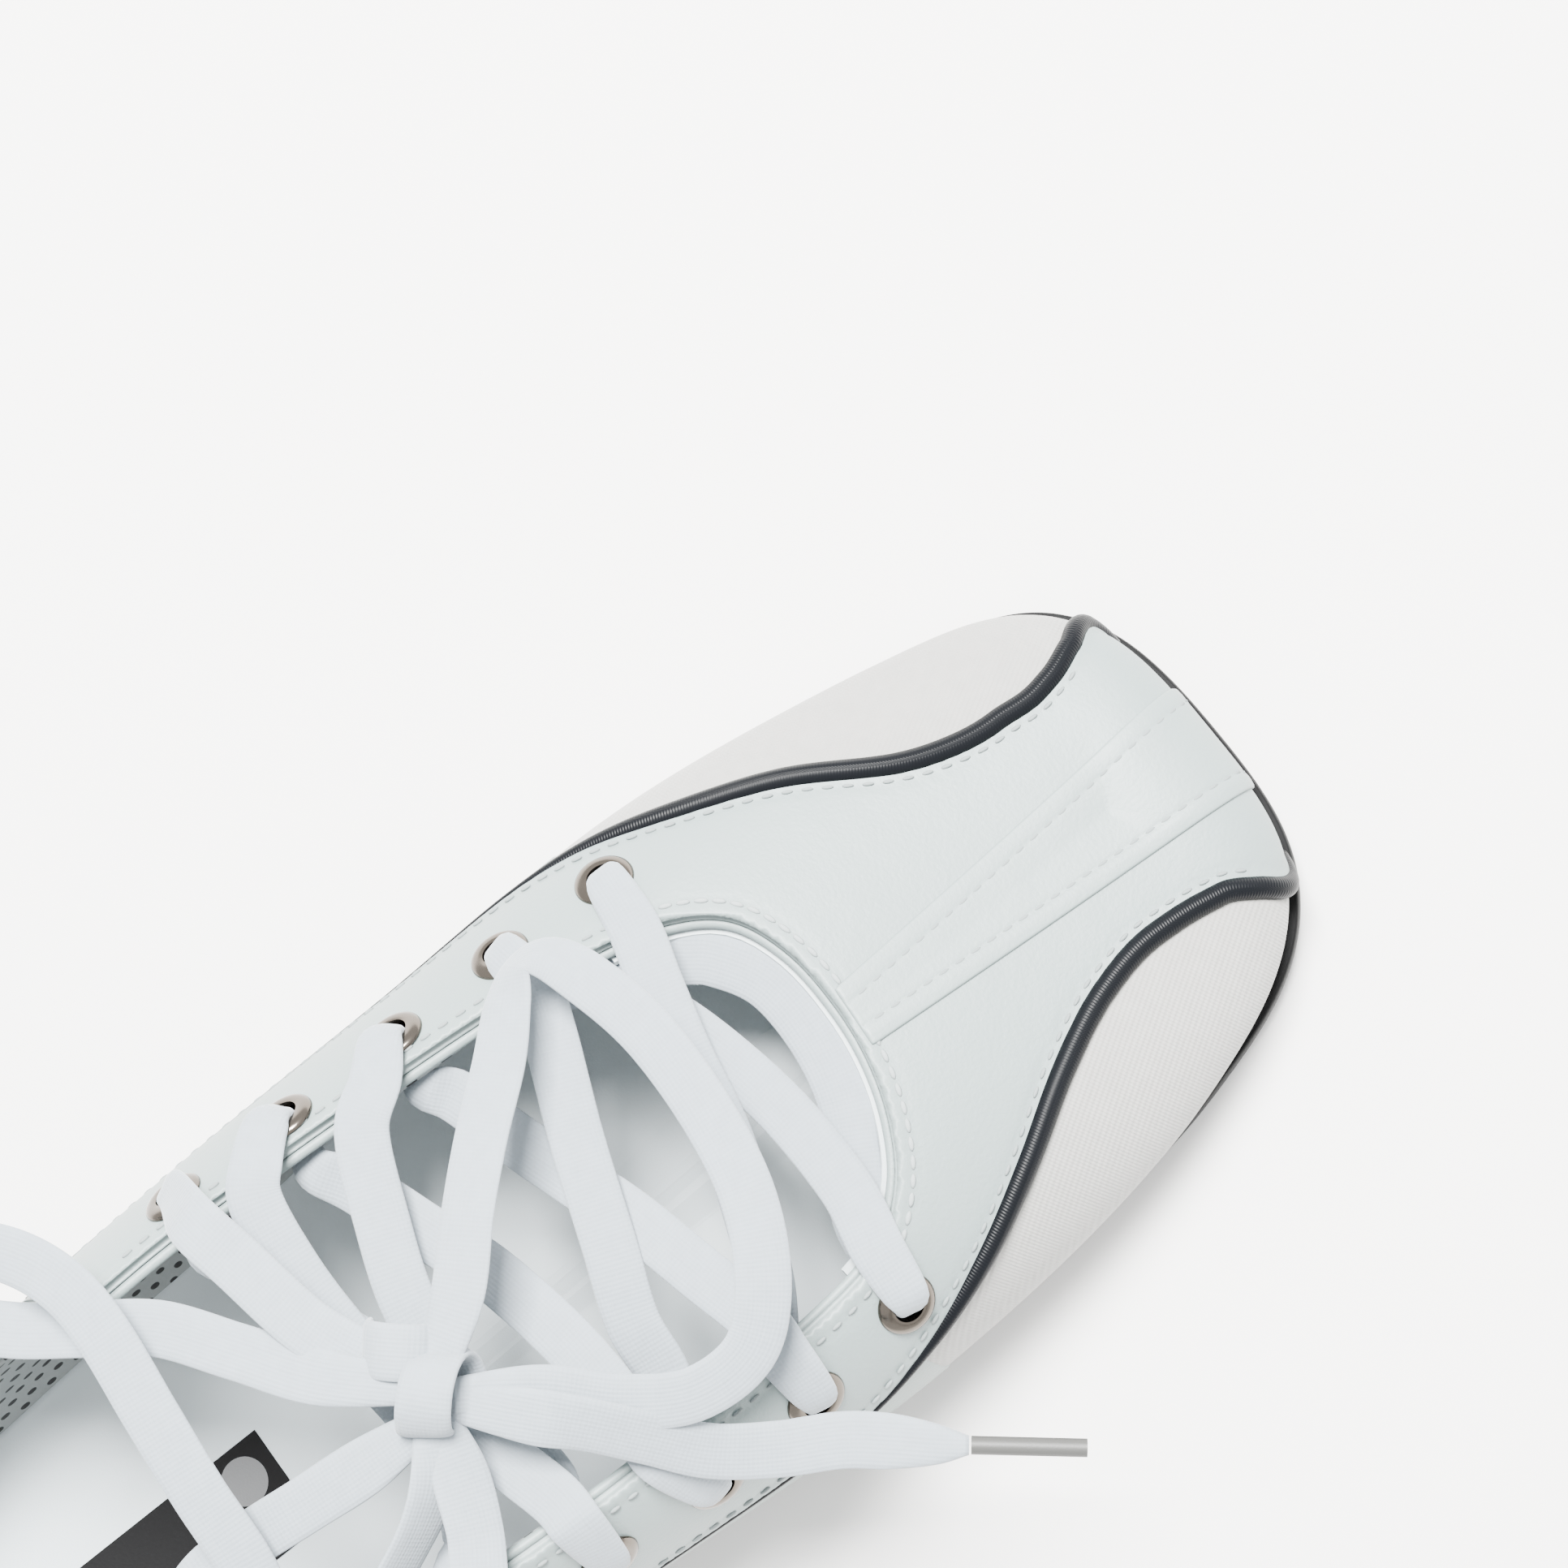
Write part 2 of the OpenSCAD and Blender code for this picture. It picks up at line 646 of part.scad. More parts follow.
// ---- lace ----
// Rings of a flat ribbon: rows are [point, across direction, width, thickness]
function ribbon_rings(rows) =
  let (line = [for (r = rows) r[0]])
  [for (i = [0 : len(rows) - 1])
    let (
      t = along(line, i),
      raw = rows[i][1] - t * (rows[i][1] * t),
      a = raw / norm(raw),
      b = cross(t, a),
      w = rows[i][2] / 2,
      h = rows[i][3] / 2
    )
    [for (c = [[1, 0.4], [0.8, 1], [-0.8, 1], [-1, 0.4], [-1, -0.4], [-0.8, -1], [0.8, -1], [1, -0.4]])
      placed(line[i] + a * w * c.x + b * h * c.y)]];

function lift(d, h) = over(d) + outward(d) * h;

// One strand: up out of eyelet a, over the throat, under the far facing, up into eyelet b
function strand(a, b, high) =
  let (
    go = (b - a) / norm(b - a),
    across = [-go.y, go.x, 0],
    far = norm(b - a),
    start = lift(a + go * 5, 2.2),
    dive = lift(b - go * 9, -5.6),
    top = start + (dive - start) * 0.33 + [0, 0, high],
    low = start + (dive - start) * 0.72 + [0, 0, high * 0.6],
    wide = [lace_w, lace_t],
    bunched = [3.6, 2.4]
  )
  [
    [lift(a, -1), across, bunched],
    [lift(a, 1.6), across, bunched],
    [lift(a + go * 2.6, 2.7), across, [5.5, 1.6]],
    [start, across, wide],
    [top, across, wide],
    [low, across, wide],
    [dive, across, wide],
    [lift(b - go * 4, -6.2), across, [5.5, 1.6]],
    [lift(b, -5), across, bunched],
    [lift(b, -1.2), across, bunched]
  ];

module ribbon(rows) {
  tube(ribbon_rings([for (r = rows) [r[0], r[1], r[2][0], r[2][1]]]));
}

KNOT = [-9.5, 131.5, 65.5];

module lace() {
  m = EYELETS_MEDIAL;
  l = EYELETS_LATERAL;
  color("#eceff1") {
    for (n = [0 : 3]) {
      ribbon(strand(m[n], l[n + 1], 2));
      ribbon(strand(l[n], m[n + 1], -0.4));
    }
    ribbon(bottom_bar(m[0], l[0]));
    ribbon(to_knot(m[4], KNOT + [4, 3, -1]));
    ribbon(to_knot(l[4], KNOT + [-3, 5, -1]));
  }
}

function bottom_bar(a, b) =
  let (out = [0.2, 1, 0], wide = [lace_w * 0.8, lace_t])
  [
    [lift(a, -1.2), out, [3.6, 2.4]],
    [lift(a, -5), out, [3.6, 2.4]],
    [lift([28, 74], -6), [0.6, -0.8, 0], wide],
    [lift([18, 64], -6), [0.5, -0.8, 0], wide],
    [lift([0, 59.5], -6), [0, -1, 0], wide],
    [lift([-18, 63], -6), [-0.5, -0.8, 0], wide],
    [lift([-30, 74], -6), [-0.6, -0.8, 0], wide],
    [lift(b, -5), [-0.2, -1, 0], [3.6, 2.4]],
    [lift(b, -1.2), [-0.2, -1, 0], [3.6, 2.4]]
  ];

function to_knot(a, end) =
  let (
    p = lift(a, 3),
    go = [end.x - p.x, end.y - p.y] / norm([end.x - p.x, end.y - p.y]),
    across = [-go.y, go.x, 0]
  )
  [
    [lift(a, -1), across, [3.6, 2.4]],
    [lift(a, 1.6), across, [3.6, 2.4]],
    [lift(a + go * 3, 3), across, [6, 1.6]],
    [p + (end - p) * 0.45 + [0, 0, 3], across, [lace_w, lace_t]],
    [end, across, [lace_w * 0.7, lace_t]]
  ];

module lace_knot() {
  color("#eceff1")
    translate(placed(KNOT))
      rotate([0, 0, 50])
        rotate([0, 90, 0])
          rotate_extrude($fn = 32)
            polygon([[0, -5.5], [3, -5.5], [4.2, -3.5], [4.6, 0], [4.2, 3.5], [3, 5.5], [0, 5.5]]);
}

// Hand-set middle lines of the bow, knot end first
LOOP_1 = [
  [-8.5, 130, 66.5], [-2, 121, 67], [5.5, 114, 66], [12.5, 107.5, 63], [19.5, 100.5, 59], [25.5, 95.5, 56],
  [29, 92, 54], [27.5, 88, 53.5], [21.5, 85.3, 54], [11, 83, 55], [-2, 83, 56], [-14, 85, 57],
  [-24, 90, 57.5], [-30, 97, 57], [-30, 106, 58], [-25, 114, 60], [-18, 121, 63], [-11.5, 130, 65]
];
LOOP_2 = [
  [-7.5, 133, 67], [1, 142, 67.5], [10, 149, 66.5], [19, 156, 66], [25, 164, 66.5], [31, 172, 67],
  [37, 177, 68], [42, 175, 69.5], [42, 169, 71], [37, 164, 72], [30, 161, 72], [22, 160.5, 71.5],
  [10, 162, 70], [-1.5, 163.5, 68], [-13, 165, 65], [-22, 169, 61.5], [-27, 176, 58], [-23, 182.5, 57],
  [-15, 182, 58.5], [-10, 174.5, 60.5], [-9.5, 165, 61.5], [-10.5, 155, 62.5], [-11.5, 145, 63.5],
  [-12, 136, 64]
];
TAIL_1 = [
  [-12, 130.5, 64.5], [-20, 123, 64.5], [-25, 118.5, 62], [-31, 114, 58], [-37, 109.5, 53.5],
  [-42, 103, 50], [-46, 96, 48.5], [-50, 91, 48], [-54, 86.3, 48], [-56.5, 83.2, 47.5]
];
TAIL_2 = [
  [-11.5, 133, 65], [-18, 137.5, 64], [-21.5, 143, 63], [-24.5, 150, 62], [-27, 157, 61.5],
  [-30, 163.5, 62], [-33.5, 169.5, 61], [-38, 175, 57], [-43, 180, 51], [-46, 184, 44]
];
AGLET_L = 15;
AGLET_D = 2.4;

module free_lace(route, taper) {
  line = even(curve(route, 4), len(route) * 2 - 2);
  last = len(line) - 1;
  ribbon([for (i = [0 : last])
    let (t = along(line, i), w = taper && i > last - 3 ? [lace_w, 6, 3.4, AGLET_D][i - last + 3] : lace_w)
    [line[i], [-t.y, t.x, 0], [w, taper && i == last ? AGLET_D : lace_t]]]);
}

module aglet(route) {
  end = route[len(route) - 1];
  go = (end - route[len(route) - 2]) / norm(end - route[len(route) - 2]);
  color("#a9a9a5")
    translate(placed(end))
      rotate([0, acos(go.z), atan2(go.y, go.x)])
        translate([0, 0, 0.3])
          cylinder(d = AGLET_D, h = AGLET_L, $fn = 24);
}

module lace_loop_1() {
  color("#eceff1") free_lace(LOOP_1, false);
}

module lace_loop_2() {
  color("#eceff1") free_lace(LOOP_2, false);
}

module lace_tail_1() {
  color("#eceff1") free_lace(TAIL_1, true);
}

module lace_tail_2() {
  color("#eceff1") free_lace(TAIL_2, true);
}

outsole();
midsole();
insole_board();
sock_liner();
sock_label();
toe_puff();
heel_counter();
vamp();
vamp_lining();
centre_strip();
canvas(1);  // canvas_medial
canvas(-1);  // canvas_lateral
quarter(1);  // quarter_medial
quarter(-1);  // quarter_lateral
facing_stay(1);  // facing_stay_medial
facing_stay(-1);  // facing_stay_lateral
quarter_lining(1);  // quarter_lining_medial
quarter_lining(-1);  // quarter_lining_lateral
facing_binding();
collar_binding();
backstay();
piping(1);  // piping_medial
piping(-1);  // piping_lateral
eyelets(EYELETS_MEDIAL);  // eyelets_medial
eyelets(EYELETS_LATERAL);  // eyelets_lateral
washers(EYELETS_MEDIAL);  // washers_medial
washers(EYELETS_LATERAL);  // washers_lateral
lace();
lace_knot();
lace_loop_1();
lace_loop_2();
lace_tail_1();
lace_tail_2();
aglet(TAIL_1);  // aglet_1
aglet(TAIL_2);  // aglet_2
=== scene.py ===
"""Looks of the court shoe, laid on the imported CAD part: a right shoe, toe -Y, medial side +X, up +Z."""

import math

import bmesh
import bpy
import numpy as np
from mathutils import Matrix, Vector, kdtree
from mathutils.geometry import delaunay_2d_cdt


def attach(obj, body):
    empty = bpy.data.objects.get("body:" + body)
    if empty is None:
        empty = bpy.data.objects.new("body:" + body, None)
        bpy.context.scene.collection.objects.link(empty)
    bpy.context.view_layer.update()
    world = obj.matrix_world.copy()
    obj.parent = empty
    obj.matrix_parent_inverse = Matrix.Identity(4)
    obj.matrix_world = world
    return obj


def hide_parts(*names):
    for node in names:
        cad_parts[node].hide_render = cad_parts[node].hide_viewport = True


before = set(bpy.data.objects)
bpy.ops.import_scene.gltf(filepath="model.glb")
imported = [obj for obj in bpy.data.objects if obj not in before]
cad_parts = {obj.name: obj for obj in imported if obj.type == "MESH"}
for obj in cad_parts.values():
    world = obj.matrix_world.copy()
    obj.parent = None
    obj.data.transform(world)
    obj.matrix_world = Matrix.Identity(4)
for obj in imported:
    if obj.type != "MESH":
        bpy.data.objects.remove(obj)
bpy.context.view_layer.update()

MM = 0.001

# ---- the last: the surface the outside of the leather lies on, in mm ----
# Points are (x to the medial side, distance from the toe, height). Table rows are (distance, value).
LAST_L = 252.0
MIDDLE = (-0.8, LAST_L / 2 - 0.6)
MEDIAL_W = [(0, 31.2), (40, 40.5), (75, 45), (115, 43), (150, 41.5), (180, 39), (212, 36), (252, 34)]
LATERAL_W = [(0, 28), (40, 42), (85, 47), (130, 45), (170, 41), (212, 36.5), (252, 35)]
RIDGE_X = [(0, 1), (62, -3), (130, -4), (200, -1), (252, 0)]
RIDGE_Z = [(0, 16), (20, 23), (40, 30), (67, 41), (100, 53), (150, 68), (200, 76), (252, 80)]
GIRTH_Z = [(0, 12), (40, 14), (80, 16), (150, 22), (252, 26)]
FEATHER_Z = [(0, 8), (20, 6.5), (45, 5.5), (150, 8), (252, 11)]
FEATHER_IN = [(0, 0.8), (25, 2.5), (80, 3.5), (150, 7), (200, 4), (252, 2)]
FULLNESS = [(0, 2.1), (70, 2.5), (110, 3), (150, 3.8), (200, 4.2), (252, 4)]
CROWN = 2.2
TOE_REACH = 27
TOE_BLUNT = 3.3
HEEL_REACH = 42
HEEL_BLUNT = 2.1
TOE_FAN = 18
HEEL_FAN = 22
LOW = 0.2
MEDIAL = 1
LATERAL = -1

# Upper edge of the side panels: (distance from the toe, share of the climb from sole to ridge)
EDGE_MEDIAL = [
    (2, 0), (3.5, 0.2), (5.2, 0.5), (10, 0.665), (19, 0.72), (27, 0.725), (36, 0.695), (50, 0.595),
    (66, 0.515), (82, 0.42), (96, 0.36), (120, 0.33), (155, 0.33), (178, 0.4), (200, 0.42), (252, 0.55),
]
EDGE_LATERAL = [
    (2.5, 0), (4.2, 0.2), (6, 0.5), (9, 0.65), (19, 0.755), (31, 0.77), (43, 0.725), (55, 0.64),
    (68, 0.54), (82, 0.44), (96, 0.36), (120, 0.33), (155, 0.33), (178, 0.4), (200, 0.42), (252, 0.55),
]
THROAT = [
    (28, 164), (29, 148), (28.8, 120), (28, 100), (26.2, 84), (23.5, 74), (18.5, 67), (10, 63.5),
    (0, 62.8), (-9, 63.9), (-17, 66.6), (-24, 71), (-29.5, 78), (-31.8, 88), (-33, 105),
    (-33.4, 130), (-32.5, 148), (-31, 164),
]
EYELETS_MEDIAL = [(34, 78), (34, 95), (33.6, 112.5), (33.2, 130), (33.4, 147.5)]
EYELETS_LATERAL = [(-37, 80), (-39.6, 97), (-40.4, 114), (-39.6, 130.5), (-38, 147.5)]
PANEL_END = 84
FACING_END = 178
LEATHER_T = 1.4
LACE_W = 7.4
LACE_T = 1.2


def unit(a):
    return a / np.linalg.norm(a, axis=-1, keepdims=True)


def smooth(rows, s):
    """Values of a table at s, on a smooth curve through its rows."""
    x, y = np.array(rows, float).T
    m = np.gradient(y, x)
    m[1:-1] = (y[2:] - y[:-2]) / (x[2:] - x[:-2])
    s = np.clip(s, x[0], x[-1])
    i = np.clip(np.searchsorted(x, s, side="right") - 1, 0, len(x) - 2)
    h = x[i + 1] - x[i]
    t = (s - x[i]) / h
    rise = (3 * t**2 - 2 * t**3)
    bend = (t**3 - 2 * t**2 + t) * m[i] + (t**3 - t**2) * m[i + 1]
    return (1 - rise) * y[i] + rise * y[i + 1] + h * bend


def opened(d, blunt):
    return (1 - (1 - np.clip(d, 0, 1)) ** blunt) ** (1 / blunt)


def half_width(s, side):
    w = np.where(side > 0, smooth(MEDIAL_W, s), smooth(LATERAL_W, s))
    return w * opened(s / TOE_REACH, TOE_BLUNT) * opened((LAST_L - s) / HEEL_REACH, HEEL_BLUNT)


def station(u):
    """Distance from the toe at share u of the outline, with small steps round the blunt toe."""
    return LAST_L / 2 * (1 - np.cos(np.pi * np.clip(u, 0, 1) ** (TOE_BLUNT / 2)))


def share(s):
    return (np.arccos(1 - 2 * np.clip(s, 0, LAST_L) / LAST_L) / np.pi) ** (2 / TOE_BLUNT)


def outline(u, side):
    s = station(u)
    return np.stack([side * half_width(s, side), s], -1)


def ridge(u):
    s = station(u)
    front = np.sqrt(s**2 + TOE_FAN**2)
    y = LAST_L - np.sqrt((LAST_L - front) ** 2 + HEEL_FAN**2 * (s / LAST_L) ** 4)
    return np.stack([smooth(RIDGE_X, y), y], -1)


def climb(v):
    return np.pi / 2 * np.clip((v - LOW) / (1 - LOW), 0, 1)


def skin(u, side, v):
    """Points of the surface: v runs from 0 at the sole to 1 on the ridge."""
    u, side, v = np.broadcast_arrays(np.asarray(u, float), side, np.asarray(v, float))
    s = station(u)
    o = outline(u, side)
    q = ridge(u)
    under = np.clip((LOW - v) / LOW, 0, 1)
    tuck = smooth(FEATHER_IN, s) * under**2 / np.linalg.norm(q - o, axis=-1)
    inward = np.where(v < LOW, tuck, 1 - np.cos(climb(v)) ** (2 / smooth(FULLNESS, s)))
    girth = smooth(GIRTH_Z, s)
    below = girth - (girth - smooth(FEATHER_Z, s)) * under
    above = girth + (smooth(RIDGE_Z, q[..., 1]) - girth) * np.sin(climb(v)) ** (2 / CROWN)
    flat = o + (q - o) * inward[..., None]
    return np.concatenate([flat, np.where(v < LOW, below, above)[..., None]], -1)


def fall(s):
    return smooth(GIRTH_Z, s) - smooth(FEATHER_Z, s)


def plan(s, side, v):
    """The same points on the plan, where the surface under the widest line is folded out flat."""
    u = share(s)
    o = outline(u, side)
    way = ridge(u) - o
    reach = np.linalg.norm(way, axis=-1)
    above = reach * (1 - np.cos(climb(v)) ** (2 / smooth(FULLNESS, s)))
    inward = np.where(v < LOW, -fall(s) * (1 - v / LOW), above)
    return o + way / reach[..., None] * inward[..., None]


def turn(a, b):
    return a[..., 0] * b[..., 1] - a[..., 1] * b[..., 0]


def find_ray(d):
    """(share, side) of the line from outline to ridge that passes over each plan point."""
    tip = ridge(np.zeros(d.shape[:-1]))
    side = np.where(
        d[..., 1] < tip[..., 1],
        np.where(turn(tip, d) <= 0, MEDIAL, LATERAL),
        np.where(d[..., 0] >= smooth(RIDGE_X, d[..., 1]), MEDIAL, LATERAL),
    )
    low, high = np.zeros(d.shape[:-1]), np.ones(d.shape[:-1])
    for _ in range(24):
        u = (low + high) / 2
        o = outline(u, side)
        short = side * turn(ridge(u) - o, d - o) < 0
        low, high = np.where(short, u, low), np.where(short, high, u)
    return (low + high) / 2, side


def seat(d):
    """(share, side, climb) of the surface point over each plan point."""
    d = np.asarray(d, float)
    u, side = find_ray(d)
    s = station(u)
    o = outline(u, side)
    way = ridge(u) - o
    reach = np.linalg.norm(way, axis=-1)
    inward = ((d - o) * way).sum(-1) / reach
    rise = np.arccos((1 - np.clip(inward / reach, 0, 1)) ** (smooth(FULLNESS, s) / 2)) / (np.pi / 2)
    v = np.where(inward < 0, LOW * np.clip(1 + inward / fall(s), 0, 1), LOW + (1 - LOW) * rise)
    return u, side, v


def foot(u, side):
    o = outline(u, side)
    return o - unit(ridge(u) - o) * fall(station(u))[..., None]


def unrolled(u, side, v):
    """A flat map of the surface with even steps of climb, where steep walls keep their room."""
    start = foot(u, side)
    return start + (ridge(u) - start) * np.asarray(v)[..., None]


def rolled(e):
    """(share, side, climb) of points of the flat map."""
    u, side = find_ray(e)
    start = foot(u, side)
    reach = np.linalg.norm(ridge(u) - start, axis=-1)
    return u, side, np.clip(np.linalg.norm(e - start, axis=-1) / reach, 0, 1)


def over(d):
    return skin(*seat(d))


def outward(d, e=0.3):
    """Outward direction of the surface over plan points."""
    d = np.asarray(d, float)
    n = np.cross(over(d + [e, 0]) - over(d - [e, 0]), over(d + [0, e]) - over(d - [0, e]))
    return n / np.linalg.norm(n, axis=-1, keepdims=True)


def lift(d, height):
    return over(d) + outward(d) * height


def skin_normal(u, side, v, e=0.002):
    du = skin(np.clip(u + e, 0, 1), side, v) - skin(np.clip(u - e, 0, 1), side, v)
    dv = skin(u, side, np.clip(v + e, 0, 1)) - skin(u, side, np.clip(v - e, 0, 1))
    n = np.cross(du, dv) * np.asarray(side, float)[..., None]
    return n / np.linalg.norm(n, axis=-1, keepdims=True)


def placed(points):
    """Row-frame metres from surface millimetres."""
    return (np.asarray(points, float) - [MIDDLE[0], MIDDLE[1], 0]) * MM


# ---- lines ----
def walked(line):
    return np.concatenate([[0], np.cumsum(np.linalg.norm(np.diff(line, axis=0), axis=1))])


def even(line, count):
    """The line cut into count equal steps."""
    line = np.asarray(line, float)
    t = walked(line)
    at = np.linspace(0, t[-1], count + 1)
    return np.stack([np.interp(at, t, line[:, a]) for a in range(line.shape[1])], -1)


def curve(points, per=12):
    """A smooth line through given points."""
    p = np.asarray(points, float)
    m = np.gradient(p, axis=0)
    t = np.linspace(0, 1, per, endpoint=False)[:, None]
    rise = 3 * t**2 - 2 * t**3
    spans = [
        (1 - rise) * p[i] + (t**3 - 2 * t**2 + t) * m[i] + rise * p[i + 1] + (t**3 - t**2) * m[i + 1]
        for i in range(len(p) - 1)
    ]
    return np.concatenate(spans + [p[-1:]])


def edge_table(side):
    return EDGE_MEDIAL if side > 0 else EDGE_LATERAL


def edge_line(side, start, end, count=160):
    s = station(np.linspace(share(start), share(end), count + 1))
    return plan(s, side, smooth(edge_table(side), s))


def feather_line(side, start, end, count=60):
    s = station(np.linspace(share(start), share(end), count + 1))
    return plan(s, side, np.zeros_like(s))


# ---- meshes ----
def show(obj, material, nodes=()):
    """Finishes a piece: gives it its material and body, and hides the nodes it stands for."""
    obj.data.materials.append(material)
    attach(obj, "root")
    if nodes:
        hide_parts(*nodes)
    return obj


def mesh_object(name, points, faces, uv=None):
    """A smooth mesh of points in surface millimetres; uv is one pair for each point."""
    mesh = bpy.data.meshes.new(name)
    mesh.from_pydata(placed(points).tolist(), [], [list(map(int, f)) for f in faces])
    mesh.validate()
    mesh.polygons.foreach_set("use_smooth", np.ones(len(mesh.polygons), bool))
    if uv is not None:
        layer = mesh.uv_layers.new(name="mm")
        index = np.empty(len(mesh.loops), int)
        mesh.loops.foreach_get("vertex_index", index)
        layer.data.foreach_set("uv", np.asarray(uv, float)[index].ravel())
    obj = bpy.data.objects.new(name, mesh)
    bpy.context.scene.collection.objects.link(obj)
    return obj


def grid_faces(rows, cols, start=0, closed=False):
    """Faces of a grid of points; closed joins the last row to the first."""
    faces = []
    for i in range(rows if closed else rows - 1):
        a, b = start + i * cols, start + (i + 1) % rows * cols
        faces += [(a + j, a + j + 1, b + j + 1, b + j) for j in range(cols - 1)]
    return faces


# How far a sheet's cut edge stands out, as a share of half its thickness
EDGE_ROUND = 0.8


def shell(name, p, inner, outer, uv, round_steps=6, holes=(), hole_r=0.0, bulge=None):
    """A sheet of leather or cloth over a grid of surface points, with rounded edges.
    inner and outer are its faces' distances from the surface; bulge adds to outer at each point."""
    rows, cols = p.shape[:2]
    n = unit(np.cross(np.gradient(p, axis=0), np.gradient(p, axis=1)))
    mid = p[rows // 2, cols // 2]
    core = np.array([0, np.clip(mid[1], HEEL_REACH, LAST_L - HEEL_REACH), 0])
    flip = np.dot(n[rows // 2, cols // 2], mid - core) < 0
    if flip:
        n = -n
    bulge = np.zeros((rows, cols)) if bulge is None else bulge
    top = p + n * (outer + bulge)[..., None]
    bottom = p + n * inner
    rim = [(0, j) for j in range(cols)] + [(i, cols - 1) for i in range(1, rows)]
    rim += [(rows - 1, j) for j in range(cols - 2, -1, -1)] + [(i, 0) for i in range(rows - 2, 0, -1)]
    ri, rj = np.array(rim).T
    ni, nj = np.clip(ri, 1, rows - 2), np.clip(rj, 1, cols - 2)
    out = p[ri, rj] - p[ni, nj]
    normal = n[ri, rj]
    out = unit(out - normal * (out * normal).sum(-1, keepdims=True))
    half = (outer - inner) / 2
    rings = []
    for k in range(1, round_steps):
        w = math.pi * k / round_steps
        across = normal * (inner + half + half * math.cos(w))
        rings.append(p[ri, rj] + across + out * half * EDGE_ROUND * math.sin(w))
    count = rows * cols
    centre = (top[:-1, :-1] + top[1:, 1:]) / 2
    keep = np.ones((rows - 1, cols - 1), bool)
    for h in holes:
        keep &= np.linalg.norm(centre - h, axis=-1) > hole_r
    upper = [f for f, k in zip(grid_faces(rows, cols), keep.ravel()) if k]
    lower = [(a + count, d + count, c + count, b + count) for a, b, c, d in upper]
    loops = [ri * cols + rj]
    loops += [2 * count + k * len(rim) + np.arange(len(rim)) for k in range(len(rings))]
    loops += [ri * cols + rj + count]
    walls = []
    for a, b in zip(loops[:-1], loops[1:]):
        walls += [(a[k], b[k], b[(k + 1) % len(rim)], a[(k + 1) % len(rim)]) for k in range(len(rim))]
    faces = upper + lower + walls
    if flip:
        faces = [f[::-1] for f in faces]
    flat_uv = uv.reshape(-1, 2)
    rim_uv = uv[ri, rj]
    return mesh_object(
        name,
        np.concatenate([top.reshape(-1, 3), bottom.reshape(-1, 3)] + rings),
        faces,
        np.concatenate([flat_uv, flat_uv] + [rim_uv] * len(rings)),
    )


def inside_of(points, loop):
    """Which points lie inside a closed loop, by counting the sides crossed to their right."""
    inside = np.zeros(len(points), bool)
    for (x0, y0), (x1, y1) in zip(loop, np.roll(loop, -1, axis=0)):
        if y0 == y1:
            continue
        crosses = (points[:, 1] < y0) != (points[:, 1] < y1)
        inside ^= crosses & (points[:, 0] < x0 + (points[:, 1] - y0) * (x1 - x0) / (y1 - y0))
    return inside


def nearest(points, line):
    """Distance of each point from the nearest of a line's points."""
    tree = kdtree.KDTree(len(line))
    for k, p in enumerate(line):
        tree.insert(Vector(p), k)
    tree.balance()
    return np.array([tree.find(Vector(p))[2] for p in points])


def patch(name, loop, inner, outer, spacing, puff=None, holes=(), hole_r=0.0, round_steps=6):
    """A sheet of leather inside a closed loop of the flat map, with rounded edges.
    puff gives what to add to outer from the surface points."""
    low, high = loop.min(0), loop.max(0)
    gx, gy = np.meshgrid(np.arange(low[0], high[0], spacing), np.arange(low[1], high[1], spacing))
    gx[1::2] += spacing / 2
    grid = np.stack([gx.ravel(), gy.ravel()], -1)
    grid = grid[inside_of(grid, loop)]
    clear = nearest(np.pad(grid, ((0, 0), (0, 1))), np.pad(loop, ((0, 0), (0, 1)))) > spacing * 0.6
    flat = np.concatenate([loop, grid[clear]])
    count = len(loop)
    sides = [(k, (k + 1) % count) for k in range(count)]
    made = delaunay_2d_cdt([Vector(e) for e in flat], sides, [], 1, 1e-5, True)
    e, triangles, sources = np.array(made[0]), np.array(made[2]), made[3]
    triangles = triangles[inside_of(e[triangles].mean(1), loop)]
    place = {source: k for k, found in enumerate(sources) for source in found}
    rim = np.array([place[k] for k in range(count)])
    u, side, v = rolled(e)
    p = skin(u, side, v)
    n = skin_normal(u, side, v)
    rise = np.zeros(len(p)) if puff is None else puff(p)
    top = p + n * (outer + rise)[:, None]
    bottom = p + n * inner
    if (np.roll(loop[:, 0], -1) * loop[:, 1] - loop[:, 0] * np.roll(loop[:, 1], -1)).sum() < 0:
        rim = rim[::-1]
    along = unit(np.roll(p[rim], -1, axis=0) - np.roll(p[rim], 1, axis=0))
    out = np.cross(n[rim], along)
    out *= np.sign(turn(e[rim] - np.roll(e[rim], 1, axis=0), np.roll(e[rim], -1, axis=0) - e[rim]).sum())
    half = (outer - inner) / 2
    rings = []
    for k in range(1, round_steps):
        w = math.pi * k / round_steps
        rings.append(p[rim] + n[rim] * (inner + half + half * math.cos(w)) + out * half * 0.8 * math.sin(w))
    centres = top[triangles].mean(1)
    keep = np.ones(len(triangles), bool)
    for h in holes:
        keep &= np.linalg.norm(centres - h, axis=-1) > hole_r
    upper = [tuple(f) for f, k in zip(triangles, keep) if k]
    size = len(p)
    lower = [tuple(size + k for k in f[::-1]) for f in upper]
    loops = [rim] + [2 * size + k * count + np.arange(count) for k in range(len(rings))] + [rim + size]
    walls = []
    for a, b in zip(loops[:-1], loops[1:]):
        walls += [(a[k], b[k], b[(k + 1) % count], a[(k + 1) % count]) for k in range(count)]
    obj = mesh_object(
        name,
        np.concatenate([top, bottom] + rings),
        upper + lower + walls,
        np.concatenate([e, e] + [e[rim]] * len(rings)),
    )
    outward_faces(obj)
    return obj


